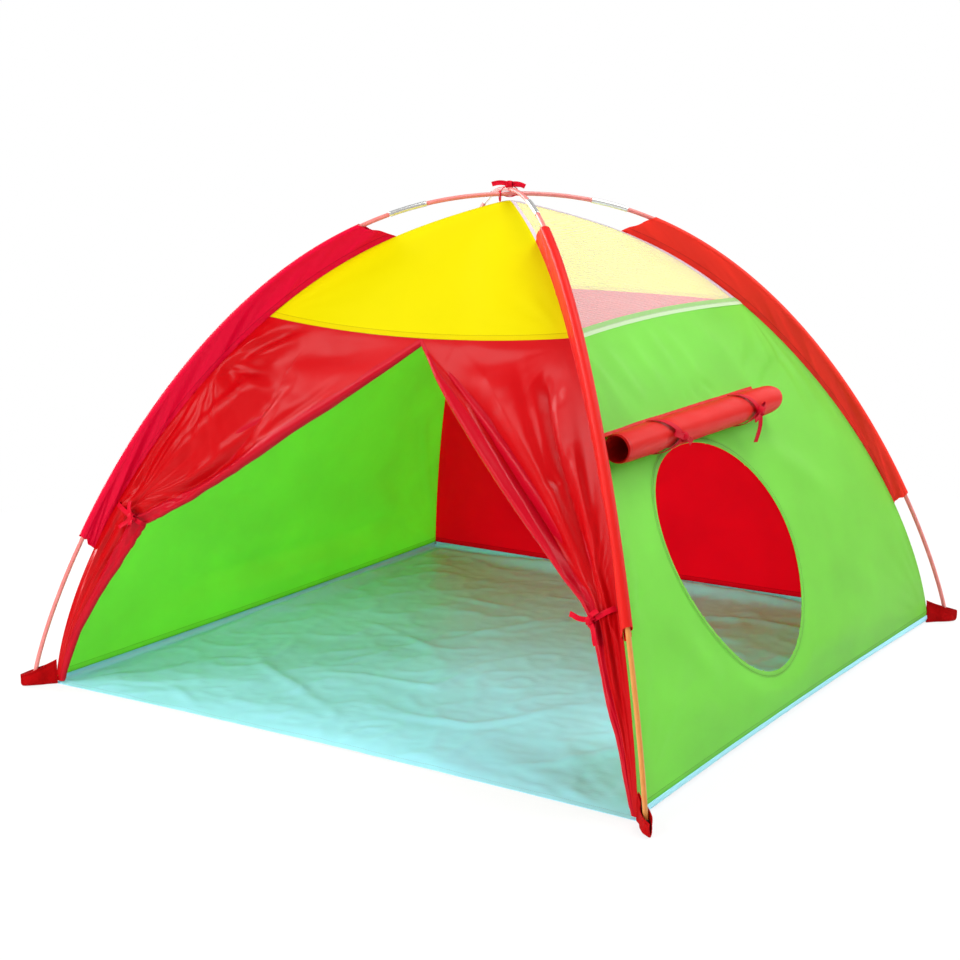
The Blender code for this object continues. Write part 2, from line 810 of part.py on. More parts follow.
def cover_tie(name, y, knot_turn, tail_turns, hinge):
    """A ribbon from the sewn edge over the roll and up behind it, with a knot and tails."""
    sewn, centre, start = cover_places()
    side = Vector((0, 1, 0))
    radius = roll_radius + ribbon_clear
    path = []
    steps = 15
    for k in range(steps + 1):
        turn = start + math.radians(mix(-4, -265, k / steps))
        path.append(centre + side * y + Vector((math.cos(turn), 0, math.sin(turn))) * radius)
    band = ribbon(path, side, ribbon_width, ribbon_thickness)
    angle = math.radians(knot_turn)
    out = Vector((math.cos(angle), 0, math.sin(angle)))
    knot_place = centre + side * y + out * (radius + knot_radius * 0.4)
    knot = ball(knot_place, (knot_radius * 0.8, knot_radius, knot_radius * 0.7),
                (side.cross(out), side, out))
    piece = make_object(name, knot, "ribbon_red", origin=hinge.location.copy(), parent=hinge)
    shapes = [band]
    for across_share, length_share in tail_turns:
        away = (Vector((0, across_share, -1))).normalized()
        length = tail_length * length_share
        tail = [knot_place + away * length * share + out * knot_radius * rise
                for share, rise in ((0.0, 0.0), (0.3, 0.4), (1.0, 0.4))]
        shapes.append(ribbon(tail, Vector((1, 0, 0)).cross(away).normalized(),
                             ribbon_width * 0.8, ribbon_thickness))
    for number, shape in enumerate(shapes):
        helper = make_object(f"{name}_strip_{number}", shape, "ribbon_red", parent=hinge)
        boolean(piece, helper, "UNION")


# The ribbon and the loop at the top

def apex_tie():
    """A ribbon tied round both poles where they cross."""
    side = Vector((0, 1, 0))
    tall = rod_radius * 2 + rod_gap / 2 + ribbon_clear + ribbon_thickness / 2
    wide = tall * 1.65
    middle = Vector((0, 0, crest_height))
    path = []
    for k in range(16):
        turn = 2 * math.pi * k / 16
        path.append(middle + Vector((wide * math.cos(turn), 0, tall * math.sin(turn))))
    band = ribbon(path, side, ribbon_width, ribbon_thickness, closed=True)
    top = middle + Vector((0, 0, tall + knot_radius * 0.4))
    knot = ball(top, (knot_radius, knot_radius * 0.8, knot_radius * 0.6),
                (Vector((1, 0, 0)), side, Vector((0, 0, 1))))
    piece = make_object("apex_tie", knot, "ribbon_red")
    shapes = [band]
    for toward, length_share in ((-1, 0.72), (1, 0.62)):
        tail = [top + Vector((toward * tail_length * length_share * share, 0, knot_radius * rise))
                for share, rise in ((0.0, 0.0), (0.35, 0.3), (0.7, 0.25), (1.0, -0.1))]
        shapes.append(ribbon(tail, side, ribbon_width * 0.9, ribbon_thickness))
    for number, shape in enumerate(shapes):
        helper = make_object(f"apex_tie_strip_{number}", shape, "ribbon_red")
        boolean(piece, helper, "UNION")


def apex_loop():
    """A cord loop that hangs the tent's tip from the lower pole."""
    low = seam_height(loop_offset) + loop_cord_radius + edge_gap
    high = hoop_height(loop_offset, lower_crest) + rod_radius + loop_cord_radius + edge_gap
    middle = turned(Vector((loop_offset, 0, (low + high) / 2)), corners["front_left"])
    side = turned(Vector((0, 1, 0)), corners["front_left"])
    sections = []
    for k in range(14):
        turn = 2 * math.pi * k / 14
        out = side * math.cos(turn) * loop_half_width
        out += Vector((0, 0, math.sin(turn) * (high - low) / 2))
        normal = (side * math.cos(turn) / loop_half_width
                  + Vector((0, 0, math.sin(turn) * 2 / (high - low)))).normalized()
        plane = turned(Vector((1, 0, 0)), corners["front_left"])
        sections.append([middle + out + (normal * math.cos(2 * math.pi * i / 6)
                                         + plane * math.sin(2 * math.pi * i / 6)) * loop_cord_radius
                         for i in range(6)])
    make_object("apex_loop", loft(sections, closed=True), "ribbon_red")


def build_tent():
    clear_scene()
    groundsheet()
    lower_wall("left_side_panel", wall_turns["left"], "green_cloth")
    window_wall()
    lower_wall("back_panel", wall_turns["back"], "red_cloth")
    roof_panel("front_roof_panel", wall_turns["front"], "yellow_cloth")
    roof_panel("back_roof_panel", wall_turns["back"], "yellow_cloth")
    roof_panel("left_roof_mesh", wall_turns["left"], "white_mesh")
    roof_panel("right_roof_mesh", wall_turns["right"], "white_mesh")
    hem_tape("left_mesh_tape", wall_turns["left"])
    hem_tape("right_mesh_tape", wall_turns["right"])
    door_flap("left_door_flap", -1, left_tie_shares)
    door_flap("right_door_flap", 1, right_tie_shares)
    pole_hoop("a", corners["back_right"], lower_crest)
    pole_hoop("b", corners["front_right"], upper_crest)
    for corner, heading in corners.items():
        crest = upper_crest if corner in ("front_right", "back_left") else lower_crest
        colour = "orange_red_cloth" if corner.endswith("right") else "red_cloth"
        pole_sleeve(f"{corner}_pole_sleeve", heading, crest, colour)
        corner_pocket(f"{corner}_corner_pocket", heading)
    cover_hinge = make_hinge("window_cover_hinge", cover_places()[0])
    cover_roll(cover_hinge)
    front_tie_y, back_tie_y = (mix(roll_front, roll_back, share) for share in cover_tie_shares)
    cover_tie("window_cover_front_tie", front_tie_y, -15, ((0.9, 0.45), (-0.5, 0.35)), cover_hinge)
    cover_tie("window_cover_back_tie", back_tie_y, -15, ((0.0, 1.0), (0.5, 0.3)), cover_hinge)
    apex_tie()
    apex_loop()


build_tent()
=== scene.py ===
import math

import bpy
import numpy as np
from mathutils import Matrix, Vector, noise


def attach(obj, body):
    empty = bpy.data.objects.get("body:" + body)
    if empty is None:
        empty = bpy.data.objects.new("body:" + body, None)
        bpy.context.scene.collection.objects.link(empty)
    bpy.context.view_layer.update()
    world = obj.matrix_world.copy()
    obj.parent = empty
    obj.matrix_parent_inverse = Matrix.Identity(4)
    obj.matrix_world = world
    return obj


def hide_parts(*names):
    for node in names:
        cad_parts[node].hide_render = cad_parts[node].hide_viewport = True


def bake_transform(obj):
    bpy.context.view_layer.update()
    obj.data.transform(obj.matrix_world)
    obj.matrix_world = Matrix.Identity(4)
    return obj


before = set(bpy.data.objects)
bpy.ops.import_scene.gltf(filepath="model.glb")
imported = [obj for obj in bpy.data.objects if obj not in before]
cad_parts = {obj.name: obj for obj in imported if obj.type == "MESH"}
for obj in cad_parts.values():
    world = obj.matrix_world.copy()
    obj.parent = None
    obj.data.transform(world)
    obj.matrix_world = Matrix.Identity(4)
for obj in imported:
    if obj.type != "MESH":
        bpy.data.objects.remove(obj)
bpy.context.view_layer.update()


# Camera. It stands off the front right-hand corner, at about the eye height of a small child,
# and looks a little down through the open door.
camera_turn, camera_drop, camera_tilt = (math.radians(angle) for angle in (33.74, 11.87, -0.58))
bpy.ops.object.camera_add(location=(1.766, -2.750, 1.022))
camera = bpy.context.object
sight = Vector((-math.sin(camera_turn) * math.cos(camera_drop),
                math.cos(camera_turn) * math.cos(camera_drop), -math.sin(camera_drop)))
level = Vector((math.cos(camera_turn), math.sin(camera_turn), 0))
upright = level.cross(sight)
right_hand = level * math.cos(camera_tilt) + upright * math.sin(camera_tilt)
overhead = upright * math.cos(camera_tilt) - level * math.sin(camera_tilt)
camera.rotation_euler = Matrix((right_hand, overhead, -sight)).transposed().to_euler()
camera.data.sensor_width = 36
camera.data.lens = 66.97
camera.data.clip_end = 60
bpy.context.scene.camera = camera


# Studio. A pale floor that runs on into a white surround, and eight large soft lamps. The
# strongest shines through the left wall; the others are in front, behind, above and on the
# right. The two low lamps in front give no reflections, so the door's folds keep a dark side.
def fill(node, inputs):
    """Sets inputs of a node to values, or links them to outputs of other nodes."""
    for socket, value in inputs.items() if isinstance(inputs, dict) else enumerate(inputs):
        if isinstance(value, bpy.types.NodeSocket):
            node.id_data.links.new(value, node.inputs[socket])
        else:
            node.inputs[socket].default_value = value
    return node


def add(tree, kind, inputs=(), **settings):
    """A new shader node of one kind in a tree."""
    node = tree.nodes.new("ShaderNode" + kind)
    for setting, value in settings.items():
        setattr(node, setting, value)
    return fill(node, inputs)


def new_paint(name):
    """A new material, its node tree and its main shader."""
    paint = bpy.data.materials.new(name)
    paint.use_nodes = True
    return paint, paint.node_tree, paint.node_tree.nodes["Principled BSDF"]


bpy.context.scene.view_settings.view_transform = "Standard"
world = bpy.data.worlds.new("studio")
bpy.context.scene.world = world
world.use_nodes = True
seen = add(world.node_tree, "LightPath").outputs["Is Camera Ray"]
glow = add(world.node_tree, "MapRange", {"Value": seen, "To Min": 0.30, "To Max": 1.0})
fill(world.node_tree.nodes["Background"], {"Strength": glow.outputs[0], "Color": (1, 1, 1, 1)})

bpy.ops.mesh.primitive_plane_add(size=16, location=(0, 0, -0.0004))
floor = bpy.context.object
floor.name = "studio_floor"
floor_paint, tree, shader = new_paint("studio_floor_white")
fill(shader, {"Base Color": (0.82, 0.82, 0.82, 1), "Roughness": 0.9})
spot = add(tree, "TexCoord").outputs["Object"]
distance = add(tree, "VectorMath", [spot], operation="LENGTH").outputs["Value"]
fade = add(tree, "MapRange", {"Value": distance, "From Min": 0.9, "From Max": 1.8,
                              "To Min": 0.80, "To Max": 1.0}).outputs[0]
seen = add(tree, "LightPath").outputs["Is Camera Ray"]
share = add(tree, "Math", [seen, fade], operation="MULTIPLY").outputs[0]
lit = add(tree, "Emission").outputs[0]
both = add(tree, "MixShader", [share, shader.outputs[0], lit])
fill(tree.nodes["Material Output"], {"Surface": both.outputs[0]})
floor.data.materials.append(floor_paint)

for place, aim_height, size, power, mirrored in (
        ((0.3, -3.9, 1.3), 0.1, 2.0, 64, False), ((-1.8, -2.6, 2.8), 0.3, 1.6, 50, True),
        ((-3.4, 0.2, 1.5), 0.3, 2.6, 164, True), ((0.3, 3.4, 1.4), 0.3, 2.0, 20, True),
        ((2.6, 1.6, 2.2), 0.2, 2.2, 66, True), ((2.0, -0.5, 3.0), 0.2, 1.8, 10, True),
        ((-1.0, -3.6, 0.8), 0.2, 1.6, 28, False), ((0.9, 0.3, 3.2), 0.2, 1.6, 54, True)):
    bpy.ops.object.light_add(type="AREA", location=place)
    lamp = bpy.context.object
    lamp.data.shape = "DISK"
    lamp.data.size = size
    lamp.data.energy = power
    lamp.visible_glossy = mirrored
    sight = Vector((0, 0, aim_height)) - Vector(place)
    lamp.rotation_euler = sight.to_track_quat("-Z", "Y").to_euler()


# Walls. The three lower walls are single layers of thin woven nylon, cut to a bow along the
# corner seams, so that they curve in to the tip. Two are green; the back one is red. The front
# has the door instead, but its shape is the same.
floor_side = 1.200
tip_height = 0.852
tip_pinch, tip_pinch_depth = 0.50, 0.030
seam_rise_share = 1.515
seam_bow_share = 0.588
hem_height = 0.656
hem_dip, hem_arch = 0.017, 0.0075
skirt_height = 0.0145
cloth_thickness = 0.0007
seam_gap = -0.0003
wall_sag, foot_tuck, tuck_height = 0.007, 0.009, 0.075
skirt_step, on_the_wall = 0.0016, 0.0011


def half_side(z):
    """Half the side of the tent's square plan at height z."""
    z = np.asarray(z, float)
    risen = np.clip(z / tip_height, 0, 1)
    peak = 1 - tip_pinch * np.exp((z - tip_height) / tip_pinch_depth)
    return floor_side / 2 * (1 - risen ** seam_rise_share) ** seam_bow_share * peak


def lean_at(z):
    """How far a wall leans in for each metre that it rises."""
    risen = np.clip(np.asarray(z, float) / tip_height, 1e-4, 0.9998)
    bow = seam_bow_share * (1 - risen ** seam_rise_share) ** (seam_bow_share - 1)
    return floor_side / 2 * bow * seam_rise_share * risen ** (seam_rise_share - 1) / tip_height


def slack_at(z):
    """How far in a wall hangs halfway along: it sags a little, and its foot is tucked in."""
    tuck = foot_tuck * np.clip(1 - z / tuck_height, 0, 1) ** 1.6
    return wall_sag * np.sin(math.pi * z / tip_height) + tuck


def joined(*parts):
    """Places made of their coordinates, which are widened to fit each other."""
    return np.stack(np.broadcast_arrays(*parts), axis=-1)


def front_spots(across, z, lift=0.0):
    """Points on the front wall's outer face, lifted off it by so much. The foot of the wall
    itself steps in behind the turned-up edge of the groundsheet."""
    across, z = np.broadcast_arrays(np.asarray(across, float), np.asarray(z, float))
    side = half_side(z)
    share = np.clip(np.abs(across) / np.maximum(side, 1e-6), 0, 1)
    in_skirt = np.clip((skirt_height + 0.003 - z) / 0.003, 0, 1)
    lift = lift - skirt_step * in_skirt * (np.abs(lift) < on_the_wall)
    lean = lean_at(z)
    length = np.sqrt(1 + lean ** 2)
    inward = slack_at(z) * (1 - share ** 2) - lift / length
    return joined(across, inward - side, z + lift * lean / length)


def turned(points, degrees):
    """Points turned about the upright line through the middle of the tent."""
    angle = math.radians(degrees)
    x, y, z = np.moveaxis(np.asarray(points, float), -1, 0)
    return joined(x * math.cos(angle) - y * math.sin(angle),
                  x * math.sin(angle) + y * math.cos(angle), z)


def hem_line(share):
    """Height of the roof hem, from -1 at one seam to 1 at the other."""
    return hem_height - hem_dip * (1 - share ** 2)


def level_hem(share):
    """The side and back hems are arched up a little instead."""
    return hem_height + hem_arch * (1 - share ** 2)


def run_along(line):
    """The length along a line at each of its points, or along many lines, one a column."""
    runs = np.cumsum(np.linalg.norm(np.diff(line, axis=0), axis=-1), axis=0)
    return np.concatenate([0 * runs[:1], runs])


def eased(share):
    """Turns a straight run from 0 to 1 into one that starts and ends softly."""
    share = np.clip(share, 0, 1)
    return share ** 2 * (3 - 2 * share)


def noise_at(*places):
    """Smooth noise at a row of places, each of which has three numbers."""
    return np.array([noise.noise(Vector(place)) for place in zip(*np.broadcast_arrays(*places))])


def creases(spots, folds):
    """Height of soft folds along lines on the cloth: depth, width, and the line's points, all in
    millimetres. A pair of widths is for the line's left and right, and makes a sharper crest."""
    height = np.zeros(len(spots))
    for depth, width, *line in folds:
        sharp = isinstance(width, tuple)
        left_width, right_width = np.broadcast_to(width, 2) / 1000
        line = np.array(line) / 1000
        runs = run_along(line) / run_along(line)[-1]
        nearest = np.full(len(spots), 9.0)
        place, on_right = np.zeros((2, len(spots)))
        for first, last, start, stop in zip(line, line[1:], runs, runs[1:]):
            step, off = last - first, spots - first
            share = np.clip(off @ step / (step @ step), 0, 1)
            gap = np.linalg.norm(off - share[:, None] * step, axis=1)
            closer = gap < nearest
            nearest[closer] = gap[closer]
            place[closer] = (start + (stop - start) * share)[closer]
            on_right[closer] = (off[:, 0] * step[1] > off[:, 1] * step[0])[closer]
        spread = np.where(on_right > 0, right_width, left_width)
        off_crest = nearest / spread
        profile = np.maximum(1 - off_crest, 0) ** 1.3 if sharp else np.exp(-off_crest ** 2)
        height += depth / 1000 * np.sin(math.pi * (0.06 + 0.88 * place)) * profile
    return height


def pulls(spots, fans):
    """Fine folds that spread from points where the cloth is held: place, reach, count, depth."""
    height = np.zeros(len(spots))
    for number, (across, z, reach, count, depth) in enumerate(fans):
        away = spots - np.array([across, z])
        distance = np.linalg.norm(away, axis=1)
        heading = np.arctan2(away[:, 1], away[:, 0])
        swell = distance / reach * np.exp(1 - distance / reach)
        rough = noise_at(heading * count, distance * 2.2, 3.7 * number + 1)
        height += depth * swell * rough
    return height


def ripples(spots, size, depth, seed):
    """Shallow uneven waves all over a piece of cloth."""
    return depth * np.array([noise.fractal(Vector((across / size, z / size, seed)), 0.9, 2.0, 3)
                             for across, z in spots])


def grid_faces(rows, columns):
    """The faces between the points of a grid."""
    start = (np.arange(rows - 1)[:, None] * columns + np.arange(columns - 1)[None, :]).ravel()
    return joined(start, start + 1, start + columns + 1, start + columns)


def cut_mesh(name, cloth, places, faces, flat):
    """A mesh that keeps where each of its points lies on the flat cut."""
    mesh = bpy.data.meshes.new(name)
    mesh.from_pydata(np.reshape(places, (-1, 3)).tolist(), [], faces.tolist())
    cut = mesh.uv_layers.new(name="cut")
    cut.data.foreach_set("uv", np.array(flat)[faces.ravel()].astype(np.float32).ravel())
    mesh.materials.append(cloth)
    piece = bpy.data.objects.new(name, mesh)
    bpy.context.scene.collection.objects.link(piece)
    return piece


def cut_cloth(name, cloth, places, across, up, edge):
    """A sheet through a grid of places. across and up say where each point lies on the flat cut,
    and edge how far it is from the nearest hem, all in metres."""
    across, up, edge = np.broadcast_arrays(across, up, edge)
    flat = joined(across.ravel(), up.ravel())
    sheet = cut_mesh(name, cloth, places, grid_faces(*across.shape), flat)
    hem = sheet.data.attributes.new("edge", "FLOAT", "POINT")
    hem.data.foreach_set("value", edge.astype(np.float32).ravel())
    return sheet


def pick(piece):
    """Makes a piece the only one that the next tools work on."""
    bpy.ops.object.select_all(action="DESELECT")
    piece.select_set(True)
    bpy.context.view_layer.objects.active = piece


def give_thickness(sheet, thickness=cloth_thickness, offset=-1.0, smooth_angle=60):
    """Gives a sheet its second face, behind the first one, and shades it smooth."""
    pick(sheet)
    bpy.ops.object.modifier_add(type="SOLIDIFY")
    solid = sheet.modifiers[-1]
    solid.thickness = thickness
    solid.offset = offset
    bpy.ops.object.modifier_apply(modifier=solid.name)
    bpy.ops.object.shade_smooth_by_angle(angle=math.radians(smooth_angle))


def work_out(tree, operation, *values):
    """One step of arithmetic in a material."""
    return add(tree, "Math", values, operation=operation).outputs[0]


def mixed(tree, share, first, second):
    """A colour between two others."""
    inputs = {"Factor": share, "A": first, "B": second}
    return add(tree, "Mix", inputs, data_type="RGBA").outputs["Result"]


def crossed_threads(tree, pitch_across, pitch_up):
    """The waves of threads across and up the flat cut, with the places they are drawn from."""
    flat = add(tree, "UVMap", uv_map="cut").outputs[0]
    parts = add(tree, "SeparateXYZ", [flat])
    places = parts.outputs["X"], parts.outputs["Y"]
    waves = [work_out(tree, "SINE", work_out(tree, "MULTIPLY", place, math.tau / pitch))
             for place, pitch in zip(places, (pitch_across, pitch_up))]
    return work_out(tree, "MULTIPLY", *waves), *places


def woven(name, colour, hem_colour, see_through=0.3, roughness=0.42, stitch=0.0095,
          thread=0.0011, uneven=0.10, hem_share=0.55, specular=0.18):
    """Thin woven nylon: fine crossed threads, a stitched hem, and light that shines through."""
    stitch_half_width, stitch_rate, stitch_gap = 0.0007, 1900, -0.4
    cloth, tree, shader = new_paint(name)
    weave, across, up = crossed_threads(tree, thread, thread)
    edge = add(tree, "Attribute", attribute_name="edge").outputs["Fac"]
    off_line = work_out(tree, "ABSOLUTE", work_out(tree, "SUBTRACT", edge, stitch))
    in_line = work_out(tree, "LESS_THAN", off_line, stitch_half_width)
    along = work_out(tree, "MULTIPLY", work_out(tree, "ADD", across, up), stitch_rate)
    dash = work_out(tree, "GREATER_THAN", work_out(tree, "SINE", along), stitch_gap)
    stitches = work_out(tree, "MULTIPLY", in_line, dash)
    doubled = work_out(tree, "LESS_THAN", edge, stitch)

    place = add(tree, "TexCoord").outputs["Object"]
    cloud = add(tree, "TexNoise", {"Vector": place, "Scale": 7, "Detail": 3}).outputs["Fac"]
    grain = add(tree, "TexNoise", {"Vector": place, "Scale": 260, "Detail": 2}).outputs["Fac"]
    dim = [c * (1 - uneven) for c in colour]
    bright = [min(c * (1 + uneven) + 0.01 * uneven, 1) for c in colour]
    hem = mixed(tree, work_out(tree, "MULTIPLY", doubled, hem_share),
                mixed(tree, cloud, (*dim, 1), (*bright, 1)), (*hem_colour, 1))
    sewn = mixed(tree, stitches, hem, (*[c * 0.72 for c in hem_colour], 1))
    gloss = add(tree, "MapRange", {"Value": cloud, "To Min": roughness - 0.06,
                                   "To Max": roughness + 0.08}).outputs[0]
    ridges = work_out(tree, "ADD", work_out(tree, "MULTIPLY", weave, 0.25), grain)
    seams = work_out(tree, "SUBTRACT", work_out(tree, "MULTIPLY", doubled, 2.0),
                     work_out(tree, "MULTIPLY", stitches, 3.0))
    bump = add(tree, "Bump", {"Strength": 0.35, "Distance": 0.00016,
                              "Height": work_out(tree, "ADD", ridges, seams)}).outputs["Normal"]
    fill(shader, {"Base Color": sewn, "Roughness": gloss, "Specular IOR Level": specular,
                  "Normal": bump})
    glow = add(tree, "BsdfTranslucent", {"Color": sewn, "Normal": bump}).outputs[0]
    layers = add(tree, "MixShader", [see_through, shader.outputs[0], glow]).outputs[0]
    fill(tree.nodes["Material Output"], {"Surface": layers})
    return cloth


green_nylon = woven("green_nylon", (0.30, 0.77, 0.108), (0.25, 0.70, 0.074), see_through=0.52,
                    specular=0.24)
red_nylon = woven("red_nylon", (0.50, 0.001, 0.003), (0.50, 0.001, 0.014), see_through=0.16,
                  roughness=0.30, stitch=0.003, hem_share=0.85, specular=0.16)
# Painted light: the back wall's red is a brighter copy of the red nylon, standing for more light on
# that wall.
painted_light_back_red_nylon = woven("painted_light_back_red_nylon", (0.94, 0.002, 0.026), (0.76, 0.002, 0.020),
                       see_through=0.5, specular=0.08)


def wall_grid(bottom, top, rows, columns, up_share=1.0):
    """Places across and up one wall between two height lines, row by row."""
    shares = np.linspace(-1, 1, columns)[None, :]
    climb = 1 - (1 - np.linspace(0, 1, rows)) ** up_share
    up = bottom(shares) + (top(shares) - bottom(shares)) * climb[:, None]
    inset = seam_gap + cloth_thickness / np.sqrt(1 + lean_at(up) ** 2)
    return shares * (half_side(up) - inset), up


def held_at_edges(across, up, bottom, top, room=0.022):
    """1 in the middle of a wall, falling to 0 where it is sewn."""
    shares = across / half_side(up)
    gaps = [half_side(up) - np.abs(across), up - bottom(shares), top(shares) - up]
    return eased(np.minimum.reduce(gaps) / room)


def foot_line(share):
    """A wall's foot is sewn just above the turned-up edge of the groundsheet."""
    return skirt_height - 0.0002 + 0 * share


def wall_top(share):
    """A wall ends just under the roof hem."""
    return level_hem(share) - 0.0003


def fasten(piece, slot, *nodes, body="tent"):
    """Says which body carries a piece and which plain solids it replaces. Its slot is not used."""
    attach(piece, body)
    if nodes:
        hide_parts(*nodes)


def lower_wall(name, turn, cloth, slot, folds, seed):
    """The left or the back wall: its plain shape, turned to its side and lifted by its folds."""
    across, up = wall_grid(foot_line, wall_top, 96, 130, 0.9)
    spots = joined(across.ravel(), up.ravel())
    lift = creases(spots, folds) + pulls(spots, corner_pulls) + ripples(spots, 0.16, 0.0012, seed)
    lift = lift.reshape(across.shape) * held_at_edges(across, up, foot_line, wall_top)
    places = turned(front_spots(across, up, lift), turn)
    wall = cut_cloth(name, cloth, places, across, up * 1.15, up - foot_line(0))
    give_thickness(wall)
    fasten(wall, slot, name.replace("_wall", "_panel"))


corner_pulls = [(side * across, up, reach, 5, 0.0035)
                for across, up, reach in ((0.595, 0.02, 0.16), (0.31, 0.655, 0.13))
                for side in (-1, 1)]
lower_wall("left_side_wall", 270, green_nylon, "green_cloth",
           [(8, 22, (300, 88), (190, 116), (-30, 110), (-310, 106), (-430, 131)),
            (2.5, 12, (0, 360), (-35, 381)),
            (2.5, 10, (200, 283), (116, 277)),
            (-4, 12, (-400, 390), (-480, 250), (-588, 73)),
            (-9, 30, (500, 70), (100, 62), (-500, 55))], 2.3)
lower_wall("back_wall", 180, painted_light_back_red_nylon, "red_cloth",
           [(5, 40, (-450, 80), (450, 80)),
            (-3, 30, (-300, 550), (-50, 300), (100, 120)),
            (3, 30, (-100, 500), (150, 250), (350, 120))], 5.1)


# Right side wall. The same green nylon, with a leaning oval window cut in it. The rim of the
# window is turned in and bound with a strip of the same cloth, sewn down with two rows.
window_middle, window_height = -0.115, 0.275
window_half_width, window_half_height, window_lean = 0.205, 0.190, 0.040
right_wall_folds = [
    (3.5, 20, (-150, 645), (-140, 600), (-123, 545)),
    (4.2, 20, (-74, 645), (-66, 600), (-59, 551)),
    (4.8, 22, (-22, 640), (-8, 600), (5, 543)),
    (3.8, 18, (-233, 636), (-209, 537)),
    (3.2, 18, (-295, 630), (-288, 529)),
    (4.5, 24, (54, 645), (129, 595), (160, 550)),
    (-5.8, 10, (360, 559), (280, 540), (204, 517)),
    (-4.5, 12, (282, 581), (160, 547)),
    (-3.5, 7, (44, 522), (20, 540), (-4, 552)),
    (-3.2, 6, (-20, 522), (-35, 545)),
    (-3.2, 6, (-60, 522), (-68, 540)),
    (6.7, 28, (82, 445), (204, 367), (340, 280)),
    (6.4, 30, (161, 231), (280, 170), (393, 114)),
    (5.4, 24, (59, 100), (215, 71)),
    (5.8, 22, (-388, 227), (-287, 127)),
    (4.8, 20, (-508, 141), (-347, 96)),
    (6.4, 20, (-412, 461), (-456, 378), (-490, 265)),
    (-4.8, 18, (-450, 313), (-478, 265)),
    (8, 50, (-500, 85), (0, 80), (500, 75))]


def window_swell(run, rise):
    """The window is a soft oval that is fuller at the top."""
    turn = np.arctan2(rise, run)
    return (1 - 0.016 * np.cos(turn) + 0.064 * np.sin(turn) - 0.009 * np.cos(2 * turn)
            + 0.041 * np.sin(3 * turn))


def from_window(across, up):
    """1 on the window's rim, less inside it and more outside."""
    rise = (up - window_height) / window_half_height
    run = (across - window_middle + window_lean * rise) / window_half_width
    return np.hypot(run, rise) / window_swell(run, rise), run, rise


def on_window(run, rise):
    """The place on the wall of a point that is so far across and up the window."""
    return (window_middle + window_half_width * run - window_lean * rise,
            window_height + window_half_height * rise)


def right_wall_top(share):
    """This wall ends a little lower than the others."""
    return level_hem(share) - 0.0007


def right_wall_lift(across, up):
    """How far the folds lift the wall off its plain shape. There are none at the window."""
    spots = joined(np.ravel(across), np.ravel(up))
    lift = creases(spots, right_wall_folds) + pulls(spots, corner_pulls)
    lift += ripples(spots, 0.16, 0.0012, 8.2)
    ring = from_window(spots[:, 0], spots[:, 1])[0]
    lift = (lift * eased((ring - 1.04) / 0.16)).reshape(np.shape(across))
    return lift * held_at_edges(across, up, foot_line, right_wall_top)


# The grid's nearest points are moved onto the cut, which lies just outside the window's rim.
across, up = wall_grid(foot_line, right_wall_top, 90, 140)
ring, run, rise = from_window(across, up)
ring /= 1.010
snap = np.zeros(ring.shape, bool)
for step_up, step_across in ((1, 0), (0, 1)):
    here = (slice(0, ring.shape[0] - step_up), slice(0, ring.shape[1] - step_across))
    there = (slice(step_up, None), slice(step_across, None))
    crosses = (ring[here] - 1) * (ring[there] - 1) < 0
    nearer = np.abs(ring[here] - 1) < np.abs(ring[there] - 1)
    snap[here] |= crosses & nearer
    snap[there] |= crosses & ~nearer
across[snap], up[snap] = on_window(run[snap] / ring[snap], rise[snap] / ring[snap])
places = turned(front_spots(across, up, right_wall_lift(across, up)), 90)
right_wall = cut_cloth("right_side_wall", green_nylon, places, across, up * 1.15,
                       up - foot_line(0))
ring[snap] = 1.0
middles = (ring[:-1, :-1] + ring[1:, :-1] + ring[:-1, 1:] + ring[1:, 1:]) / 4
pick(right_wall)
bpy.ops.object.mode_set(mode="EDIT")
bpy.ops.mesh.select_mode(type="FACE")
bpy.ops.mesh.select_all(action="DESELECT")
bpy.ops.object.mode_set(mode="OBJECT")
right_wall.data.polygons.foreach_set("select", (middles.ravel() < 1).tolist())
bpy.ops.object.mode_set(mode="EDIT")
bpy.ops.mesh.delete(type="FACE")
bpy.ops.object.mode_set(mode="OBJECT")
give_thickness(right_wall)
fasten(right_wall, "green_cloth", "right_side_panel")

# The hem's section goes from behind the wall round the rim to the front: out from the rim, lift.
section = ((0.0090, -0.0015), (0.0040, -0.0016), (0.0008, -0.0016), (-0.0008, -0.0002),
           (0.0006, 0.0006), (0.0030, 0.0007), (0.0066, 0.0006), (0.0085, 0.0005), (0.0092, 0.0002))
out, lift = np.array(section).T[:, :, None]
turns = np.linspace(0, math.tau, 161)
rim_run, rim_rise = np.cos(turns), np.sin(turns)
swell = window_swell(rim_run, rim_rise)
rim_run, rim_rise = rim_run * swell, rim_rise * swell
rim_across, rim_up = on_window(rim_run, rim_rise)
way_across, way_up = np.gradient(rim_across), np.gradient(rim_up)
way_across[[0, -1]] = way_across[1] + way_across[-2], way_across[1] + way_across[-2]
way_up[[0, -1]] = way_up[1] + way_up[-2], way_up[1] + way_up[-2]
length = np.hypot(way_across, way_up)
out_across, out_up = way_up / length, -way_across / length
pucker = 0.0005 * np.sin(turns * 61) * np.sin(turns * 17)
places = turned(front_spots(rim_across + out_across * out, rim_up + out_up * out,
                            lift + pucker * (out > 0.002)), 90)
window_hem = cut_cloth("window_hem", green_nylon, places, turns * 0.2, out * 1.5,
                       np.abs(out - 0.006) + 0.009)
give_thickness(window_hem, 0.0004, offset=0.0)
fasten(window_hem, "green_cloth")


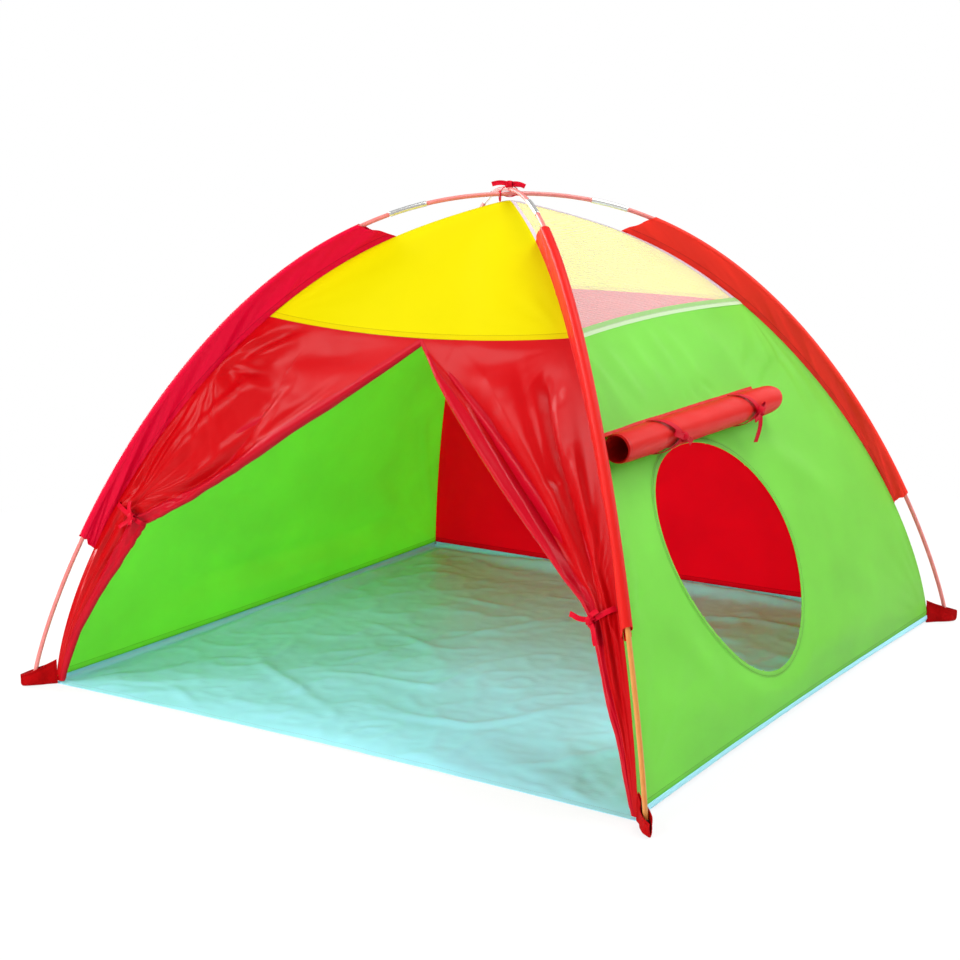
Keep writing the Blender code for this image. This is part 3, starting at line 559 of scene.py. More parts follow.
# Roof. Yellow nylon at the front and back, fine white net at the sides. Each net is sewn into
# the corner seams with a closed band, and has a pale binding tape along its foot.
yellow_nylon = woven("yellow_nylon", (0.72, 0.635, 0.0004), (0.68, 0.53, 0.001), see_through=0.26,
                     roughness=0.5, uneven=0.03, specular=0.03)
# Painted light: the back roof's yellow is a brighter copy of the same yellow nylon, standing for
# more light on it.
painted_light_back_yellow_nylon = woven("painted_light_back_yellow_nylon", (0.97, 0.89, 0.0005), (0.92, 0.72, 0.001),
                          see_through=0.58, roughness=0.5, uneven=0.03, specular=0.03)


def roof_line(share):
    """The roof cloths end just under the tip."""
    return tip_height - 0.00004 + 0 * share


def net(name):
    """Fine knitted net: small holes in rows, and a closed band along its sewn edges."""
    mesh_cloth, tree, shader = new_paint(name)
    threads = crossed_threads(tree, 0.0032, 0.0042)[0]
    cover = add(tree, "MapRange", {"Value": threads, "From Min": -0.7, "From Max": 0.7,
                                   "To Min": 0.13, "To Max": 0.27}).outputs[0]
    edge = add(tree, "Attribute", attribute_name="edge").outputs["Fac"]
    band = work_out(tree, "LESS_THAN", edge, 0.012)
    closed = work_out(tree, "MAXIMUM", cover, work_out(tree, "MULTIPLY", band, 0.96))
    tone = mixed(tree, band, (0.95, 0.93, 0.92, 1), (0.58, 0.50, 0.56, 1))
    bump = add(tree, "Bump", {"Strength": 0.3, "Distance": 0.0003, "Height": threads})
    fill(shader, {"Base Color": tone, "Roughness": 0.5, "Alpha": closed,
                  "Normal": bump.outputs["Normal"]})
    return mesh_cloth


white_net = net("white_net")


def roof_cloth(name, node, turn, cloth, slot, folds, seed, hem=hem_line):
    """One roof panel, from its hem up to the tip. A net's edges are the seams at its sides."""
    across, up = wall_grid(hem, roof_line, 60, 90, up_share=2.0)
    spots = joined(across.ravel(), up.ravel())
    lift = creases(spots, folds) + ripples(spots, 0.13, 0.0010, seed)
    lift += pulls(spots, [(side * 0.31, hem_height, 0.10, 5, 0.003) for side in (-1, 1)])
    lift = lift.reshape(across.shape) * held_at_edges(across, up, hem, roof_line, 0.02)
    places = turned(front_spots(across, up, lift), turn)
    shares = across / half_side(up)
    if slot == "white_mesh":
        edge = half_side(up) - np.abs(across)
    else:
        edge = (up - hem(shares)) * np.sqrt(1 + lean_at(up) ** 2)
    roof = cut_cloth(name, cloth, places, across, np.hypot(up - hem_height, half_side(up)), edge)
    give_thickness(roof, 0.0005)
    fasten(roof, slot, node)


roof_cloth("front_roof", "front_roof_panel", 0, yellow_nylon, "yellow_cloth",
           [(2, 30, (200, 660), (80, 760), (10, 830)),
            (-1.5, 30, (100, 660), (30, 760), (0, 830))], 1.7)
roof_cloth("back_roof", "back_roof_panel", 180, painted_light_back_yellow_nylon, "yellow_cloth",
           [(2, 30, (-180, 660), (-60, 760), (-10, 830))], 4.4, level_hem)
net_folds = [
    (3, 8, (-130, 785), (-90, 782), (-50, 778)),
    (2.8, 8, (-135, 768), (-90, 758), (-50, 752)),
    (3, 10, (0, 845), (50, 800), (130, 740)),
    (3, 12, (10, 840), (100, 800), (170, 770)),
    (2.6, 12, (-240, 690), (-150, 700), (-50, 700)),
    (-3, 20, (-100, 740), (20, 730), (150, 700))]
roof_cloth("left_roof_net", "left_roof_mesh", 270, white_net, "white_mesh",
           net_folds, 6.1, level_hem)
roof_cloth("right_roof_net", "right_roof_mesh", 90, white_net, "white_mesh",
           net_folds, 9.3, level_hem)

pale_tape = woven("pale_tape", (0.31, 0.55, 0.20), (0.54, 0.70, 0.44), see_through=0.2,
                  roughness=0.65, stitch=0.0056, thread=0.0008, uneven=0.04, hem_share=1.0)
tape_half_width = 0.0062
for name, turn in (("left", 270), ("right", 90)):
    shares = np.linspace(-1, 1, 120)[None, :]
    lines = np.linspace(-tape_half_width, tape_half_width, 9)[:, None]
    up = level_hem(shares) + lines
    across = shares * (half_side(up) - 0.0018)
    lift = 0.0009 - 12 * lines ** 2 + 0.0003 * np.sin(shares * 95) * (np.abs(lines) < 0.004)
    places = turned(front_spots(across, up, lift), turn)
    tape = cut_cloth(f"{name}_roof_tape", pale_tape, places, across, lines,
                     tape_half_width + lines)
    give_thickness(tape, 0.0005, offset=1.0)
    fasten(tape, "pale_tape", f"{name}_mesh_tape")


# Groundsheet. One piece of pale blue coated cloth. Its front edge lies flat in the doorway, with
# a double hem, and the other three edges are turned up and sewn to the foot of the walls.
blue_cloth = woven("blue_coated_cloth", (0.38, 0.82, 0.98), (0.40, 0.84, 0.98), see_through=0.12,
                   roughness=0.33, stitch=0.011, thread=0.0014, uneven=0.05, specular=0.40)
floor_folds = [
    (4.5, 12, (-442, -251), (-303, -350), (-221, -385), (-46, -478)),
    (4.5, 12, (-278, -334), (-146, -275), (5, -267), (0, -117), (39, -23)),
    (5, 14, (-70, -375), (55, -414), (173, -396), (239, -300), (280, -197)),
    (3.5, 10, (-241, -27), (-110, -93)),
    (3.5, 10, (-442, -481), (-273, -580)),
    (3.5, 10, (35, -560), (29, -506), (65, -465)),
    (3.5, 12, (-358, 4), (-241, -27)),
    (3.5, 12, (-324, 248), (-157, 238)),
    (3, 10, (-248, -249), (-179, -112)),
    (4, 14, (-142, -15), (-41, 226)),
    (3, 10, (-570, -58), (-500, 62)),
    (3, 10, (-550, 290), (-500, 239)),
    (4, 14, (300, -100), (420, 120), (500, 340)),
    (3.5, 12, (100, 350), (300, 420), (520, 400)),
    (-3, 20, (-500, 400), (-200, 450), (100, 520)),
    (3.5, 12, (360, -500), (440, -360), (470, -200)),
    (20, 22, (-580, 566), (0, 558), (580, 566)),
    (14, 20, (-566, -300), (-562, 100), (-566, 560))]
bend_radius, bend_share, rows_of_skirt, foot_gap = 0.010, 0.75, 10, 0.0012
steps = np.linspace(-1, 1, 150)
bends = np.linspace(0, 1, rows_of_skirt + 1)[1:]
column, row = np.meshgrid(np.concatenate([-1 - bends[::-1], steps, 1 + bends]),
                          np.concatenate([steps, 1 + bends]))
flat_x, flat_y = np.clip(column, -1, 1), np.clip(row, -1, 1)
reach, bow = floor_side / 2 - 0.0009, 0.009


def crumple(spots, size, depth, seed):
    """Sharp little ridges between flat places, as in a sheet that was packed away folded."""
    rough = noise_at(*(spots / size).T, seed)
    return depth * (1 - np.clip(np.abs(rough) * 3.2, 0, 1)) ** 2


def wall_reach(share, z):
    """How far from the middle of the floor the inner face of a wall stands at height z."""
    return half_side(z) - slack_at(z) * (1 - share ** 2) - 0.0002


def turned_up(past, raised):
    """How far out and how high the edge is, round its soft bend and then up the wall."""
    angle = np.clip(past / bend_share, 0, 1) * math.pi / 2
    above = np.clip((past - bend_share) / (1 - bend_share), 0, 1)
    out = bend_radius * (np.sin(angle) - 1)
    up = bend_radius * (1 - np.cos(angle)) + (skirt_height + 0.0004 - bend_radius) * above
    return out * raised, up * raised


raised = np.clip((flat_y + 1) * 20, 0.02, 1)
out_x, up_x = turned_up(np.clip(np.abs(column) - 1, 0, 1), raised)
out_y, up_y = turned_up(np.clip(row - 1, 0, 1), 1.0)
turn_up = np.maximum(up_x, up_y)
x = reach - (reach - wall_reach(flat_y, foot_gap + turn_up) - out_x) * np.abs(flat_x) ** 6
back_y = reach - (reach - wall_reach(flat_x, foot_gap + turn_up) - out_y) * np.abs(flat_y) ** 6
front_y = reach - bow * (1 - flat_x ** 2) * np.abs(flat_y) ** 6
x, y = flat_x * x, flat_y * np.where(flat_y > 0, back_y, front_y)
spots = joined(x.ravel(), y.ravel())
waves = creases(spots, floor_folds) + ripples(spots, 0.11, 0.0022, 3.3)
waves += crumple(spots, 0.085, 0.0024, 7.7) + crumple(spots, 0.036, 0.0011, 2.1)
waves += pulls(spots, [(corner_x, corner_y, 0.16, 6, 0.004)
                       for corner_y in (-0.6, 0.6) for corner_x in (-0.6, 0.6)])
inside = np.clip((np.minimum(reach - np.abs(x), reach - np.abs(y)) - 0.004) / 0.036, 0, 1)
lift = np.maximum(waves.reshape(x.shape) + 0.0015, 0) * inside ** 0.8
z = foot_gap + lift + turn_up
hem_edge = np.where(turn_up > 0, 1.0, y + reach - bow * (1 - flat_x ** 2))
groundsheet = cut_cloth("blue_groundsheet", blue_cloth, joined(x, y, z), x, y, hem_edge)
give_thickness(groundsheet, 0.0008)
fasten(groundsheet, "groundsheet_cloth", "groundsheet")


# Door flaps. Two sheets of the red nylon, sewn to the roof hem and down the corner seams. Each
# is gathered to its side by a ribbon, and its free edge is a soft rolled hem that is folded back.
def soften(line, times):
    """Draws each place of a line toward its neighbours, a number of times."""
    for _ in range(times):
        line[1:-1] = (line[:-2] + 2 * line[1:-1] + line[2:]) / 4
    return line


def along_line(points, count):
    """So many places evenly along a line, with its corners made a little softer."""
    points = np.array(points, float)
    runs = run_along(points)
    shares = np.linspace(0, 1, count)
    return soften(joined(*(np.interp(shares, runs / runs[-1], column) for column in points.T)), 3)


def unit(vectors):
    """The same directions, each one metre long."""
    return vectors / np.linalg.norm(vectors, axis=-1, keepdims=True)


def door_flap(name, side, above_tie, below_tie, seam_tie, hem_roll, pleats, folds, fans, seed):
    """One flap. The lines of its free edge above and below the tie are in millimetres. down runs
    from 0 at the roof hem to 1 at the tie and 2 at the floor; pleats: count, phase, depth."""
    rows_above, rows_below, columns, roll_rows, tuck_rows = 120, 66, 90, 13, 14
    under_hem, foot = 0.0007, 0.006
    down = np.concatenate([np.linspace(0, 1, rows_above), np.linspace(1, 2, rows_below)[1:]])
    seam_z = np.interp(down, (0, 1, 2), (hem_height - under_hem, seam_tie, foot))
    seam_inset = cloth_thickness / np.sqrt(1 + lean_at(seam_z) ** 2)
    seam_x = side * (half_side(seam_z) - seam_gap - seam_inset)
    edge = np.concatenate([along_line(above_tie, rows_above),
                           along_line(below_tie, rows_below)[1:]]) / 1000
    seam_spot, edge_spot = front_spots(seam_x, seam_z), front_spots(edge[:, 0], edge[:, 1])
    width = np.linalg.norm(seam_spot - edge_spot, axis=1)
    swell = np.sin(math.pi * np.where(down < 1, down, (down - 1) * 0.9 + 0.05))
    curl = hem_roll * (0.45 + 0.55 * swell * np.where(down < 1, 1, 0.35))
    curl = np.minimum(curl, width * 0.3)

    # The cloth between the seam and the rolled edge, with its top on the roof hem.
    u = np.linspace(0, 1, columns)[None, :]
    share = u * ((width - curl) / width)[:, None]
    x = seam_x[:, None] + (edge[:, :1] - seam_x[:, None]) * share
    z = seam_z[:, None] + (edge[:, 1:] - seam_z[:, None]) * share
    hem = hem_line(np.clip(x / half_side(hem_height), -1, 1)) - under_hem
    z += (hem[:1] - z[:1]) * np.clip(1 - down, 0, 1)[:, None] ** 5

    # Its folds, and the pleats that meet at the tie. They die out toward the sewn edges.
    spots = joined(x.ravel(), z.ravel())
    lift = creases(spots, folds) + pulls(spots, fans) + ripples(spots, 0.12, 0.0010, seed)
    lift += ripples(spots, 0.030, 0.0002, seed + 5)
    lift = lift.reshape(x.shape)
    near_tie = np.where(down < 1, np.exp(-(np.maximum(1 - down, 0) / 0.16) ** 1.2),
                        np.exp(-((down - 1) / 0.45)))
    for count, phase, depth in pleats:
        lift += depth * near_tie[:, None] * np.sin(math.tau * (count * u + phase)
                                                   + 1.2 * np.sin(down[:, None] * 9 + count))
    bundle = 0.0085 * np.exp(-((down - 1) / 0.13) ** 2)[:, None] * np.sin(math.pi * u ** 0.8) ** 0.8
    from_seam = u * width[:, None]
    from_hem = (hem - z) * 1.2
    calm = eased(np.minimum(from_seam, np.where(down[:, None] < 0.8, from_hem, 1)) / 0.024)
    lift = (lift + bundle) * calm
    lift = np.where(down[:, None] > 1.75, lift * np.clip((2 - down[:, None]) / 0.25, 0, 1), lift)
    face = front_spots(x, z, lift)

    # The free edge is rolled over and tucked in behind.
    slope = lean_at(edge[:, 1])
    normal = unit(joined(0, -1, slope))
    inward = unit(seam_spot - edge_spot)
    rolled = []
    for turn in np.radians(np.linspace(72, -90, roll_rows)):
        rolled.append(edge_spot + inward * (curl * (1 - math.cos(turn)))[:, None]
                      + normal * (curl * (math.sin(turn) - 1) + lift[:, -1])[:, None])
    tuck = np.minimum(0.085 * swell ** 0.6, width * 0.55)
    for step in np.linspace(0, 1, tuck_rows + 1)[1:]:
        bend = 0.0035 * math.sin(step * 7 + seed) * swell + 0.002 * math.sin(step * 15)
        depth = lift[:, -1] - 2 * curl + 0.35 * curl * step + bend
        rolled.append(edge_spot + inward * (curl + tuck * step)[:, None] + normal * depth[:, None])
    puffs = 0.0007 * noise_at(down * 14, 2.5, seed) * swell
    rolled = np.stack(rolled, axis=1)
    rolled[:, :roll_rows] += normal[:, None] * puffs[:, None, None]
    places = np.concatenate([face, rolled], axis=1)
    flat_across = run_along(places.swapaxes(0, 1)).T
    from_roll = np.maximum((width - curl)[:, None] - flat_across, 0)
    order = slice(None, None, side)
    flap = cut_cloth(name.replace("door_flap", "flap_cloth"), red_nylon, places[:, order],
                     flat_across[:, order], seam_z[:, None] * 1.15, from_roll[:, order])
    give_thickness(flap, 0.0006, offset=0.0)
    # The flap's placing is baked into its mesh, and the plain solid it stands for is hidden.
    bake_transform(flap)
    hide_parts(name)
    return seam_spot[rows_above - 1], edge_spot[rows_above - 1], normal[rows_above - 1]


left_hold = door_flap(
    "left_door_flap", -1,
    [(34, 634), (-61, 562), (-145, 503), (-230, 441), (-323, 378), (-400, 325), (-442, 303)],
    [(-442, 303), (-461, 265), (-511, 181), (-556, 100), (-586, 6)],
    0.333, 0.0100, [(3.6, 0.1, 0.0040), (6.3, 0.55, 0.0016)],
    [(8, 20, (-452, 341), (-421, 394), (-400, 429), (-362, 475), (-332, 510), (-308, 530),
      (-266, 546), (-230, 558)),
     (-26, (60, 34), (-434, 331), (-358, 382), (-303, 428), (-269, 470), (-245, 510), (-229, 557)),
     (8.5, 12, (-436, 317), (-365, 392), (-300, 450), (-240, 505), (-200, 545)),
     (-6, 10, (-440, 315), (-368, 375), (-265, 443), (-175, 510), (-110, 562)),
     (-10, 13, (-377, 574), (-352, 560), (-315, 541)),
     (-11, 13, (-372, 576), (-318, 573), (-237, 563)),
     (10, 16, (-373, 583), (-333, 608), (-273, 633)),
     (9, 13, (-330, 576), (-266, 604), (-224, 625)),
     (-8, 12, (-360, 585), (-300, 606), (-240, 632)),
     (-5, 12, (-365, 598), (-324, 620), (-237, 636)),
     (-6, 20, (-230, 600), (-120, 605), (-30, 615)),
     (7, 10, (-488, 345), (-478, 400), (-458, 450), (-430, 490)),
     (-7, 9, (-474, 335), (-464, 400), (-445, 445), (-415, 490)),
     (8, 12, (-497, 299), (-537, 229), (-565, 150))],
    [(-0.385, 0.575, 0.09, 6, 0.0040), (-0.47, 0.33, 0.12, 9, 0.0040)], 1.3)
right_hold = door_flap(
    "right_door_flap", 1,
    [(22, 637), (83, 583), (129, 545), (236, 462), (331, 389), (420, 321), (462, 290), (484, 265)],
    [(484, 265), (509, 205), (550, 120), (586, 6)],
    0.296, 0.0105, [(3.2, 0.3, 0.0036), (6.1, 0.05, 0.0016)],
    [(10, 12, (30, 616), (166, 520), (297, 420), (377, 355), (458, 293)),
     (-18, (38, 10), (50, 619), (168, 554), (253, 487), (332, 423), (418, 347), (466, 296)),
     (9, 40, (143, 622), (225, 570), (325, 485), (415, 395), (470, 310)),
     (-4, 10, (232, 612), (290, 540), (345, 475), (410, 405), (474, 316)),
     (-11, (12, 20), (298, 590), (352, 500), (411, 419), (455, 355), (486, 308)),
     (-7, 20, (274, 590), (315, 578), (325, 552)),
     (-5, 8, (365, 500), (420, 425), (480, 320)),
     (6, 8, (385, 500), (438, 415), (492, 318)),
     (-4, 7, (351, 458), (381, 446)),
     (-8, 22, (100, 620), (180, 606), (250, 610)),
     (8, 12, (498, 262), (530, 190), (560, 110))],
    [(0.30, 0.64, 0.09, 4, 0.0010), (0.49, 0.30, 0.12, 9, 0.0030)], 4.6)


# Ties of the flaps. Each is a narrow red ribbon, sewn into the corner seam. It goes round the
# gathered cloth and is knotted in front, with its ends hanging loose.
ribbon_red = woven("red_ribbon", (0.58, 0.002, 0.018), (0.58, 0.002, 0.018), see_through=0.1,
                   roughness=0.5, stitch=-1.0, thread=0.0007, uneven=0.05, specular=0.10)


def smooth_path(points, count):
    """A still softer line of so many places."""
    return soften(along_line(points, count), max(count // 12, 2))


def ribbons(name, strips, body, node):
    """One piece made of ribbon strips. Each has a line, its sideways direction and its width."""
    corners, faces, flats = [], [], []
    across = np.linspace(-0.5, 0.5, 5)
    for line, sideways, width in strips:
        sideways = np.broadcast_to(np.array(sideways, float), line.shape)
        ahead = unit(np.gradient(line, axis=0))
        sideways = unit(sideways - ahead * np.sum(sideways * ahead, axis=1, keepdims=True))
        out = np.cross(ahead, sideways)
        first = sum(len(points) for points in corners)
        cup = 0.0006 * (1 - 4 * across ** 2)
        part = (line[:, None] + sideways[:, None] * (across * width)[None, :, None]
                + out[:, None] * cup[None, :, None])
        corners.append(part.reshape(-1, 3))
        flats += [(share * width, length) for length in run_along(line) for share in across]
        faces.append(grid_faces(len(line), len(across)) + first)
    piece = cut_mesh(name, ribbon_red, np.concatenate(corners), np.concatenate(faces), flats)
    give_thickness(piece, 0.0009, offset=0.0)
    fasten(piece, "ribbon_red", node, body=body)


def knot_strips(middle, first, second, third, size, width):
    """Three short turns of ribbon about one middle, as in a pulled overhand knot."""
    strips = []
    turn = np.linspace(0, math.tau, 25)[:, None]
    for a, b, c, long, short in (
            (first, third, second, 1.0, 0.62), (second, third, first, 0.8, 0.70),
            (unit(first + second * 0.9), third, second - first, 0.95, 0.74)):
        line = middle + a * np.cos(turn) * size * long + b * np.sin(turn) * size * short
        strips.append((line, c, width))
    return strips


def loose_end(knot, away, length, lift, lift_size, lift_rate, curl):
    """The line of a ribbon's end, which leaves its knot and bends a little on its way."""
    return smooth_path([knot + away * length * share
                        + lift * lift_size * math.sin(lift_rate * share)
                        + curl * 0.003 * math.sin(5 * share) * share
                        for share in np.linspace(0, 1, 12)], 36)


def flap_tie(name, side, hold, body, knot_share, tails):
    """The tie of one flap. Each tail goes so far sideways and down, and has a length."""
    seam_spot, edge_spot, normal = hold
    across = unit(edge_spot - seam_spot)
    width = np.linalg.norm(edge_spot - seam_spot)
    drop = unit(np.cross(across, normal)) * -side
    off_cloth, past_edge = 0.0135, 0.0045
    outline = ((0.08, 0.3), (0.17, 0.75), (0.40, 1.0), (0.70, 1.05), (0.90, 0.95))
    path = [seam_spot + across * width * share + normal * off_cloth * rise
            for share, rise in outline]
    for angle in np.radians((40, 0, -40)):
        path.append(edge_spot + across * past_edge * math.cos(angle)
                    + normal * (off_cloth * math.sin(angle)))
    path += [seam_spot + across * width * share - normal * off_cloth * rise
             for share, rise in reversed(outline)]
    slack = drop * np.linspace(0.002, -0.002, 90)[:, None]
    strips = [(smooth_path(path, 90) + slack, drop, 0.0085)]
    knot = seam_spot + across * width * knot_share + normal * (off_cloth + 0.0035)
    strips += knot_strips(knot, across, drop, normal, 0.0080, 0.0070)
    for sideways, downward, length in tails:
        away = unit(across * sideways + drop * downward)
        line = loose_end(knot, away, length, normal, 0.005, 2.2, np.cross(normal, away))
        strips.append((line, np.cross(away, normal), 0.0080))
    ribbons(f"{name}_ribbon", strips, body, f"{name}_tie")


flap_tie("left_door_flap", -1, left_hold, "left_flap", 0.82,
         ((-0.75, -0.65, 0.028), (-0.20, 0.95, 0.030), (0.65, 0.55, 0.014)))
flap_tie("right_door_flap", 1, right_hold, "right_flap", 0.86,
         ((0.75, -0.65, 0.034), (0.10, 1.0, 0.040), (-0.70, -0.30, 0.020)))


# Pole hoops. Each is seven hollow rods of pink fibreglass on an elastic cord, joined by silver
# ferrules that are pushed over the rod ends. The ends stand in the corner pockets. The rod at
# the front right foot is the same pink fibreglass, tinted amber as painted shade and reflected
# green light.
foot_reach, foot_height = 0.888028, 0.0075
lower_crest, upper_crest = 0.86385, 0.87215
hoop_bow, hoop_fullness = 2.2, 0.813
rod_radius, ferrule_radius, ferrule_length = 0.0040, 0.00505, 0.070


def hoop_height(reach, crest):
    """Height of a bent pole at this distance from the middle of the tent."""
    share = np.clip(np.abs(reach) / foot_reach, 0, 1)
    return foot_height + (crest - foot_height) * (1 - share ** hoop_bow) ** hoop_fullness


def hoop_line(crest):
    """Reach and height of half a hoop, finely spaced from its foot, and the length so far."""
    reach = foot_reach * np.cos(np.linspace(0, math.pi / 2, 1601))
    height = hoop_height(reach, crest)
    steps = np.hypot(np.diff(reach), np.diff(height))
    return reach, height, np.concatenate([[0], np.cumsum(steps)])


def on_hoop(distances, crest, heading):
    """Points of a whole hoop at distances along it, from the foot at this heading."""
    reach, height, run = hoop_line(crest)
    distances = np.asarray(distances, float)
    near = np.minimum(distances, 2 * run[-1] - distances)
    out = np.interp(near, run, reach) * np.where(distances <= run[-1], 1, -1)
    up = np.interp(near, run, height)
    return turned(joined(out, 0, up), heading)


def edit_all(piece, tool, **settings):
    """Runs one of the mesh tools on the whole of a piece."""
    pick(piece)
    bpy.ops.object.mode_set(mode="EDIT")
    bpy.ops.mesh.select_all(action="SELECT")
    tool(**settings)
    bpy.ops.object.mode_set(mode="OBJECT")


def bent_tube(name, points, radii, wall, material, slot, node, closed=False):
    """A tube bent along points, made from a curve and given its wall."""
    curve = bpy.data.curves.new(name, "CURVE")
    curve.dimensions = "3D"
    curve.bevel_depth = 1
    curve.bevel_resolution = 6
    line = curve.splines.new("POLY")
    line.points.add(len(points) - 1)
    for point, place, radius in zip(line.points, points, radii):
        point.co = (*place, 1)
        point.radius = radius
    line.use_cyclic_u = closed
    tube = bpy.data.objects.new(name, curve)
    bpy.context.scene.collection.objects.link(tube)
    pick(tube)
    bpy.ops.object.convert(target="MESH")
    tube = bpy.context.object
    tube.data.materials.clear()
    tube.data.materials.append(material)
    edit_all(tube, bpy.ops.mesh.normals_make_consistent, inside=False)
    if wall:
        give_thickness(tube, wall, smooth_angle=40)
    else:
        bpy.ops.object.shade_smooth_by_angle(angle=math.radians(40))
    fasten(tube, slot, node)


def marked(name, scale, detail, smooth, rough, looks):
    """A hard material with fine marks that make its gloss uneven."""
    paint, tree, shader = new_paint(name)
    place = add(tree, "TexCoord").outputs["Object"]
    marks = add(tree, "TexNoise", {"Vector": place, "Scale": scale, "Detail": detail})
    marks = marks.outputs["Fac"]
    gloss = add(tree, "MapRange", {"Value": marks, "To Min": smooth, "To Max": rough})
    fill(shader, {"Roughness": gloss.outputs[0], **looks})
    return paint, tree, shader, marks


def fibreglass(name, dark, light):
    """Rod material with faint strands between two tones."""
    paint, tree, shader, strands = marked(name, 90, 3, 0.30, 0.48, {"Coat Weight": 0.2})
    fill(shader, {"Base Color": mixed(tree, strands, (*dark, 1), (*light, 1))})
    return paint


pink_fibreglass = fibreglass("pink_fibreglass", (0.58, 0.13, 0.115), (0.68, 0.22, 0.20))
# Painted shade and reflected green light: the pink fibreglass tinted amber, for the front right
# foot rod.
painted_light_fibreglass = fibreglass("painted_light_fibreglass", (0.52, 0.17, 0.03), (0.62, 0.26, 0.06))
silver, tree, shader, scuffs = marked("silver_metal", 160, 4, 0.26, 0.44,
                                      {"Base Color": (0.80, 0.80, 0.79, 1), "Metallic": 0.9})
bump = add(tree, "Bump", {"Strength": 0.2, "Distance": 0.0001, "Height": scuffs})
fill(shader, {"Normal": bump.outputs["Normal"]})

# A ferrule's ends are rounded, and each is pressed on with a groove: place, and change in radius.
ferrule_end = np.array([(1.0, -0.35), (0.995, -0.15), (0.985, 0), (0.955, 0), (0.950, -0.15),
                        (0.94, 0), (0.90, 0), (0.5, 0)])
ferrule_places, ferrule_girths = np.concatenate([ferrule_end * (-1, 1), [(0, 0)],
                                                 ferrule_end[::-1]]).T
rods_per_hoop, rod_gap, rod_points = 7, 0.00015, 40
for letter, heading, crest in (("a", 45, lower_crest), ("b", 315, upper_crest)):
    rod = 2 * hoop_line(crest)[2][-1] / rods_per_hoop
    for number in range(rods_per_hoop):
        stops = np.linspace(number * rod + rod_gap, (number + 1) * rod - rod_gap, rod_points)
        # The front right foot rod gets the amber tint, which is painted shade and reflected light.
        painted_light_rod = (letter, number) == ("b", 0)
        bent_tube(f"pole_{letter}_tube_{number + 1}", on_hoop(stops, crest, heading),
                  np.full(rod_points, rod_radius), 0.0018,
                  painted_light_fibreglass if painted_light_rod else pink_fibreglass, "pole_fibreglass",
                  f"pole_{letter}_rod_{number + 1}")
    for number in range(1, rods_per_hoop):
        stops = number * rod + ferrule_places * (ferrule_length / 2)
        bent_tube(f"pole_{letter}_joint_{number}", on_hoop(stops, crest, heading),
                  ferrule_radius + ferrule_girths * 0.001, 0.0006, silver, "ferrule_metal",
                  f"pole_{letter}_ferrule_{number}")

# The caps and cords can't be seen in the pockets and rods, so they stay plain solids.
cap_plastic = marked("pole_end_plastic", 300, 2, 0.45, 0.6,
                     {"Base Color": (0.05, 0.05, 0.055, 1)})[0]
elastic = woven("white_elastic", (0.75, 0.75, 0.73), (0.75, 0.75, 0.73), see_through=0.05,
                roughness=0.7, stitch=-1.0)
for name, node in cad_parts.items():
    if "_cap_" in name or "shock_cord" in name:
        node.data.materials.clear()
        node.data.materials.append(cap_plastic if "_cap_" in name else elastic)


# Pole sleeves. Folded strips of nylon along the corner seams, crimson on the left and orange red
# on the right. The round outer edge holds the pole, and the flat edge is sewn into the seam.
crimson_nylon = woven("crimson_nylon", (0.72, 0.002, 0.034), (0.64, 0.002, 0.028), see_through=0.22,
                      roughness=0.36, specular=0.11)
orange_red_nylon = woven("orange_red_nylon", (0.72, 0.014, 0.010), (0.64, 0.010, 0.010),
                         see_through=0.25, roughness=0.42)
# Painted light: the back right sleeve's orange red is a brighter copy of the same cloth, standing
# for more light on it.
painted_light_back_orange_nylon = woven("painted_light_back_orange_nylon", (0.94, 0.036, 0.018), (0.84, 0.026, 0.014),
                          see_through=0.25, roughness=0.42)
sleeve_seam_shares, sleeve_pole_shares = (0.292, 0.930), (0.887, 0.304)
fold_radius, fold_turn = 0.0080, 112.0


def seam_height(reach):
    """Height of the corner seams at this distance from the middle of the tent."""
    fallen = (reach / (floor_side / math.sqrt(2))) ** (1 / seam_bow_share)
    return tip_height * (1 - fallen) ** (1 / seam_rise_share)


